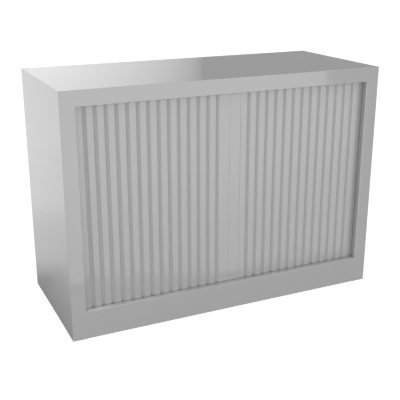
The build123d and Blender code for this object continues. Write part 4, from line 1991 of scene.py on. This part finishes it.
# ---------------------------------------------------------------- studio
@dataclass(frozen=True)
class Card:
    """A card of the studio that only shows in reflections, such as a flag or a soft box."""

    name: str
    middle: Place
    size: Point
    left_tone: float = 1.0
    right_tone: float = 1.0
    curve: float = 1.0
    upright: bool = True

    def build(self) -> None:
        """Build the card and keep it out of everything but reflections."""
        mesh = bmesh.new()
        bmesh.ops.create_grid(mesh, x_segments=1, y_segments=1, size=0.5)
        resize(mesh, (*self.size, 1))
        if self.upright:
            stand = Matrix.Rotation(math.pi / 2, 3, "X")
            bmesh.ops.rotate(mesh, verts=mesh.verts[:], cent=(0, 0, 0), matrix=stand)
        move(mesh, self.middle)
        data = take_data(mesh, self.name)
        data.materials.append(self.material())
        card = add_object(self.name, data)
        card.visible_camera = False
        card.visible_diffuse = False
        card.visible_transmission = False
        card.visible_shadow = False

    def material(self) -> Material:
        """Make the card's glowing material.

        Returns:
            The material.
        """
        made, graph = new_material(self.name)
        place = graph.axes(graph.place())
        glow = graph.add("Emission")
        graph.link(self.tone(graph, place["X"], place["Y"]), glow.inputs["Strength"])
        graph.show(glow)
        return made

    def tone(self, graph: Graph, x: NodeSocket, y: NodeSocket) -> NodeSocket:
        """Run the card's tone from its left end to its right end.

        Args:
            graph: The material's graph.
            x: How far to the right each place is.
            y: How far back each place is; not used here.

        Returns:
            The tone's socket.
        """
        half = self.size[0] / 2
        share = graph.ramp(x, self.middle[0] + half, self.middle[0] - half, 0.0, 1.0)
        bent = graph.math("POWER", share, self.curve)
        return graph.ramp(bent, 0.0, 1.0, self.right_tone, self.left_tone)


@dataclass(frozen=True)
class ReflectedFloorShade(Card):
    """The floor as reflections show it: painted shade, darker nearer the cabinet, and a painted
    shadow before it.
    """

    upright: bool = False
    footprint: Point = (0.5, 0.215)
    shade: tuple[Point, ...] = (
        (0.0, 0.24), (0.05, 0.32), (0.1, 0.44), (0.15, 0.53), (0.2, 0.595), (0.3, 0.64),
        (0.4, 0.655), (0.5, 0.675), (0.6, 0.715), (0.7, 0.76), (0.85, 0.84), (2.0, 0.93),
    )
    # Painted shadow in front: where its edge lies, how it slants and its left corner.
    shadow_edge: float = -0.415
    shadow_slope: float = 0.34
    shadow_left: Point = (-0.4, -0.59)
    dark_floor_tone: float = 0.14
    shadow_fade: float = 0.01
    edge_tone: float = 0.68
    full_tone: float = 1.05
    clear_edge: float = -1.8
    near_side: Point = (0.453, 0.775)
    far_side: Point = (0.306, 0.695)
    far_from: float = -3.36
    side_fade: float = 0.02
    front_fade: float = 0.001

    def tone(self, graph: Graph, x: NodeSocket, y: NodeSocket) -> NodeSocket:
        """Paint shade on the floor round the cabinet's footprint, then lay the painted shadow in
        front.

        Args:
            graph: The material's graph.
            x: How far to the right each place is.
            y: How far back each place is.

        Returns:
            The tone's socket.
        """
        front_y = -self.footprint[1]
        before = graph.ramp(y, front_y - self.front_fade, front_y, 1.0, 0.0)
        lit = graph.ramp(y, self.shadow_left[1], self.clear_edge, self.edge_tone, self.full_tone)
        dark = graph.math("MAXIMUM", self.beside(graph, x, y), self.under(graph, x, y))
        front = graph.mix(dark, lit, self.dark_floor_tone)
        return graph.mix(before, self.open_floor(graph, x, y), front)

    def open_floor(self, graph: Graph, x: NodeSocket, y: NodeSocket) -> NodeSocket:
        """Shade the floor by its distance from the cabinet's footprint.

        Args:
            graph: The material's graph.
            x: How far to the right each place is.
            y: How far back each place is.

        Returns:
            The shade's socket.
        """
        squares = []
        for value, half in zip((x, y), self.footprint):
            outside = graph.math("SUBTRACT", graph.math("ABSOLUTE", value), half)
            beyond = graph.math("MAXIMUM", outside, 0.0)
            squares.append(graph.product(beyond, beyond))
        distance = graph.math("SQRT", graph.math("ADD", *squares))
        return graph.steps(distance, self.shade)

    def beside(self, graph: Graph, x: NodeSocket, y: NodeSocket) -> NodeSocket:
        """Find the dark floor to the right of a line that runs away from the cabinet.

        Args:
            graph: The material's graph.
            x: How far to the right each place is.
            y: How far back each place is.

        Returns:
            The mask's socket.
        """
        near, far = (
            graph.math("MULTIPLY_ADD", y, -slope, place - slope * self.footprint[1])
            for place, slope in (self.near_side, self.far_side)
        )
        line = graph.mix(graph.math("LESS_THAN", y, self.far_from), near, far)
        past = graph.math("SUBTRACT", x, line)
        return graph.ramp(past, -self.side_fade, self.side_fade, 0.0, 1.0)

    def under(self, graph: Graph, x: NodeSocket, y: NodeSocket) -> NodeSocket:
        """Find the painted shadow between the cabinet and its slanting edge.

        Args:
            graph: The material's graph.
            x: How far to the right each place is.
            y: How far back each place is.

        Returns:
            The mask's socket.
        """
        rise = self.shadow_left[1] - self.shadow_slope * self.shadow_left[0]
        slant = graph.math("MULTIPLY_ADD", x, self.shadow_slope, rise)
        edge = graph.math("MINIMUM", slant, self.shadow_edge)
        past = graph.math("SUBTRACT", y, edge)
        return graph.ramp(past, -self.shadow_fade, self.shadow_fade, 0.0, 1.0)


@dataclass(frozen=True)
class Lamp:
    """A soft square lamp that faces the cabinet and stays out of its reflections."""

    name: str
    place: Place
    power: float
    size: float = 6.0
    aim: Place = (0, 0, 0.35)

    def build(self) -> None:
        """Hang the lamp."""
        data = bpy.data.lights.new(self.name, "AREA")
        data.size = self.size
        data.energy = self.power
        lamp = add_object(self.name, data)
        lamp.location = self.place
        way = Vector(self.aim) - Vector(self.place)
        lamp.rotation_euler = way.to_track_quat("-Z", "Y").to_euler()
        lamp.visible_glossy = False


@dataclass
class Studio:
    """The camera, the pale floor, the soft light and the cards that shape its reflections."""

    eye: Place = (-0.960, -2.039, 1.043)
    look: Place = (0.4021, 0.8584, -0.3186)
    lens: float = 66.47
    sensor: float = 36.0
    sight: float = 100.0
    surround: float = 0.575
    floor_size: float = 30.0
    floor_glow: float = 0.60
    floor_white: float = 0.9
    floor_bounce: float = 0.95
    lamps: tuple[Lamp, ...] = (
        Lamp("key", (-1.5, -12.9, 2.4), 565),
        Lamp("fill", (-12.0, -7.0, 3.0), 110),
    )
    cards: tuple[Card, ...] = (
        ReflectedFloorShade("reflected_floor_shade", (0, 0, 0.0005), (12, 12)),
        Card("soft_fade", (0.63, 2.6, 1.5), (1.20, 3.0), 1.05, 0.35, curve=0.565),
        Card("back_flag", (3.23, 2.6, 1.5), (4.0, 3.0), left_tone=0.35, right_tone=0.35),
        Card("right_flag", (6.02, -4.0, 2.0), (6.0, 4.0), left_tone=0.15, right_tone=0.15),
    )

    def build(self) -> None:
        """Set up the camera, the floor, the light and the cards."""
        self.build_camera()
        self.build_floor()
        self.build_world()
        for thing in (*self.lamps, *self.cards):
            thing.build()
        bpy.context.scene.view_settings.view_transform = "Standard"

    def build_camera(self) -> None:
        """Place the camera."""
        data = bpy.data.cameras.new("camera")
        data.lens = self.lens
        data.sensor_width = self.sensor
        data.clip_end = self.sight
        camera = add_object("camera", data)
        camera.location = self.eye
        camera.rotation_euler = Vector(self.look).to_track_quat("-Z", "Y").to_euler()
        bpy.context.scene.camera = camera

    def seen(self, graph: Graph) -> NodeSocket:
        """Tell apart the rays that show the background from those that light the object.

        Args:
            graph: The graph of the floor or the world.

        Returns:
            The socket, which is 1 for the rays that show it.
        """
        path = graph.add("LightPath").outputs
        shown = graph.math("MAXIMUM", path["Is Camera Ray"], path["Is Glossy Ray"])
        return graph.math("MAXIMUM", shown, path["Is Transmission Ray"])

    def build_floor(self) -> None:
        """Lay the floor, white to the eye, with the cabinet's soft shadow on it."""
        mesh = bmesh.new()
        bmesh.ops.create_grid(mesh, x_segments=2, y_segments=2, size=self.floor_size)
        data = take_data(mesh, "floor")
        floor = add_object("floor", data)
        material, graph = new_material("pale_floor")
        white, bounce = (
            self.diffuse(graph, tone) for tone in (self.floor_white, self.floor_bounce)
        )
        glow = graph.add("Emission")
        glow.inputs["Strength"].default_value = self.floor_glow
        shown = graph.add("AddShader")
        graph.link(white.outputs[0], shown.inputs[0])
        graph.link(glow.outputs[0], shown.inputs[1])
        mix = graph.add("MixShader")
        graph.link(self.seen(graph), mix.inputs[0])
        graph.link(bounce.outputs[0], mix.inputs[1])
        graph.link(shown.outputs[0], mix.inputs[2])
        graph.show(mix)
        data.materials.append(material)

    def diffuse(self, graph: Graph, tone: float) -> Node:
        """Add a plain grey or white diffuse shader.

        Args:
            graph: The material's graph.
            tone: How light it is.

        Returns:
            The shader's node.
        """
        shader = graph.add("BsdfDiffuse")
        shader.inputs["Color"].default_value = (tone, tone, tone, 1)
        return shader

    def build_world(self) -> None:
        """Make a plain white surround that lights the object softly."""
        world = bpy.data.worlds.new("surround")
        bpy.context.scene.world = world
        world.use_nodes = True
        graph = Graph(world.node_tree)
        shade = graph.add("Background")
        shade.inputs["Color"].default_value = (1, 1, 1, 1)
        strength = graph.ramp(self.seen(graph), 0.0, 1.0, self.surround, 1.0)
        graph.link(strength, shade.inputs["Strength"])
        graph.show(shade, "OutputWorld")


def main() -> None:
    """Build the studio and every sub-assembly, in order."""
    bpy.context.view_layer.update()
    for build_group in (build_edge_group, build_coat_group, build_dust_and_highlight_group, build_drawn_group):
        build_group()
    Studio().build()
    for assembly in (Carcass(), Store(), Tracks(), Feet(), Tambour()):
        assembly.build()
        log.info("built %s", type(assembly).__name__)


if __name__ == "__main__":
    main()
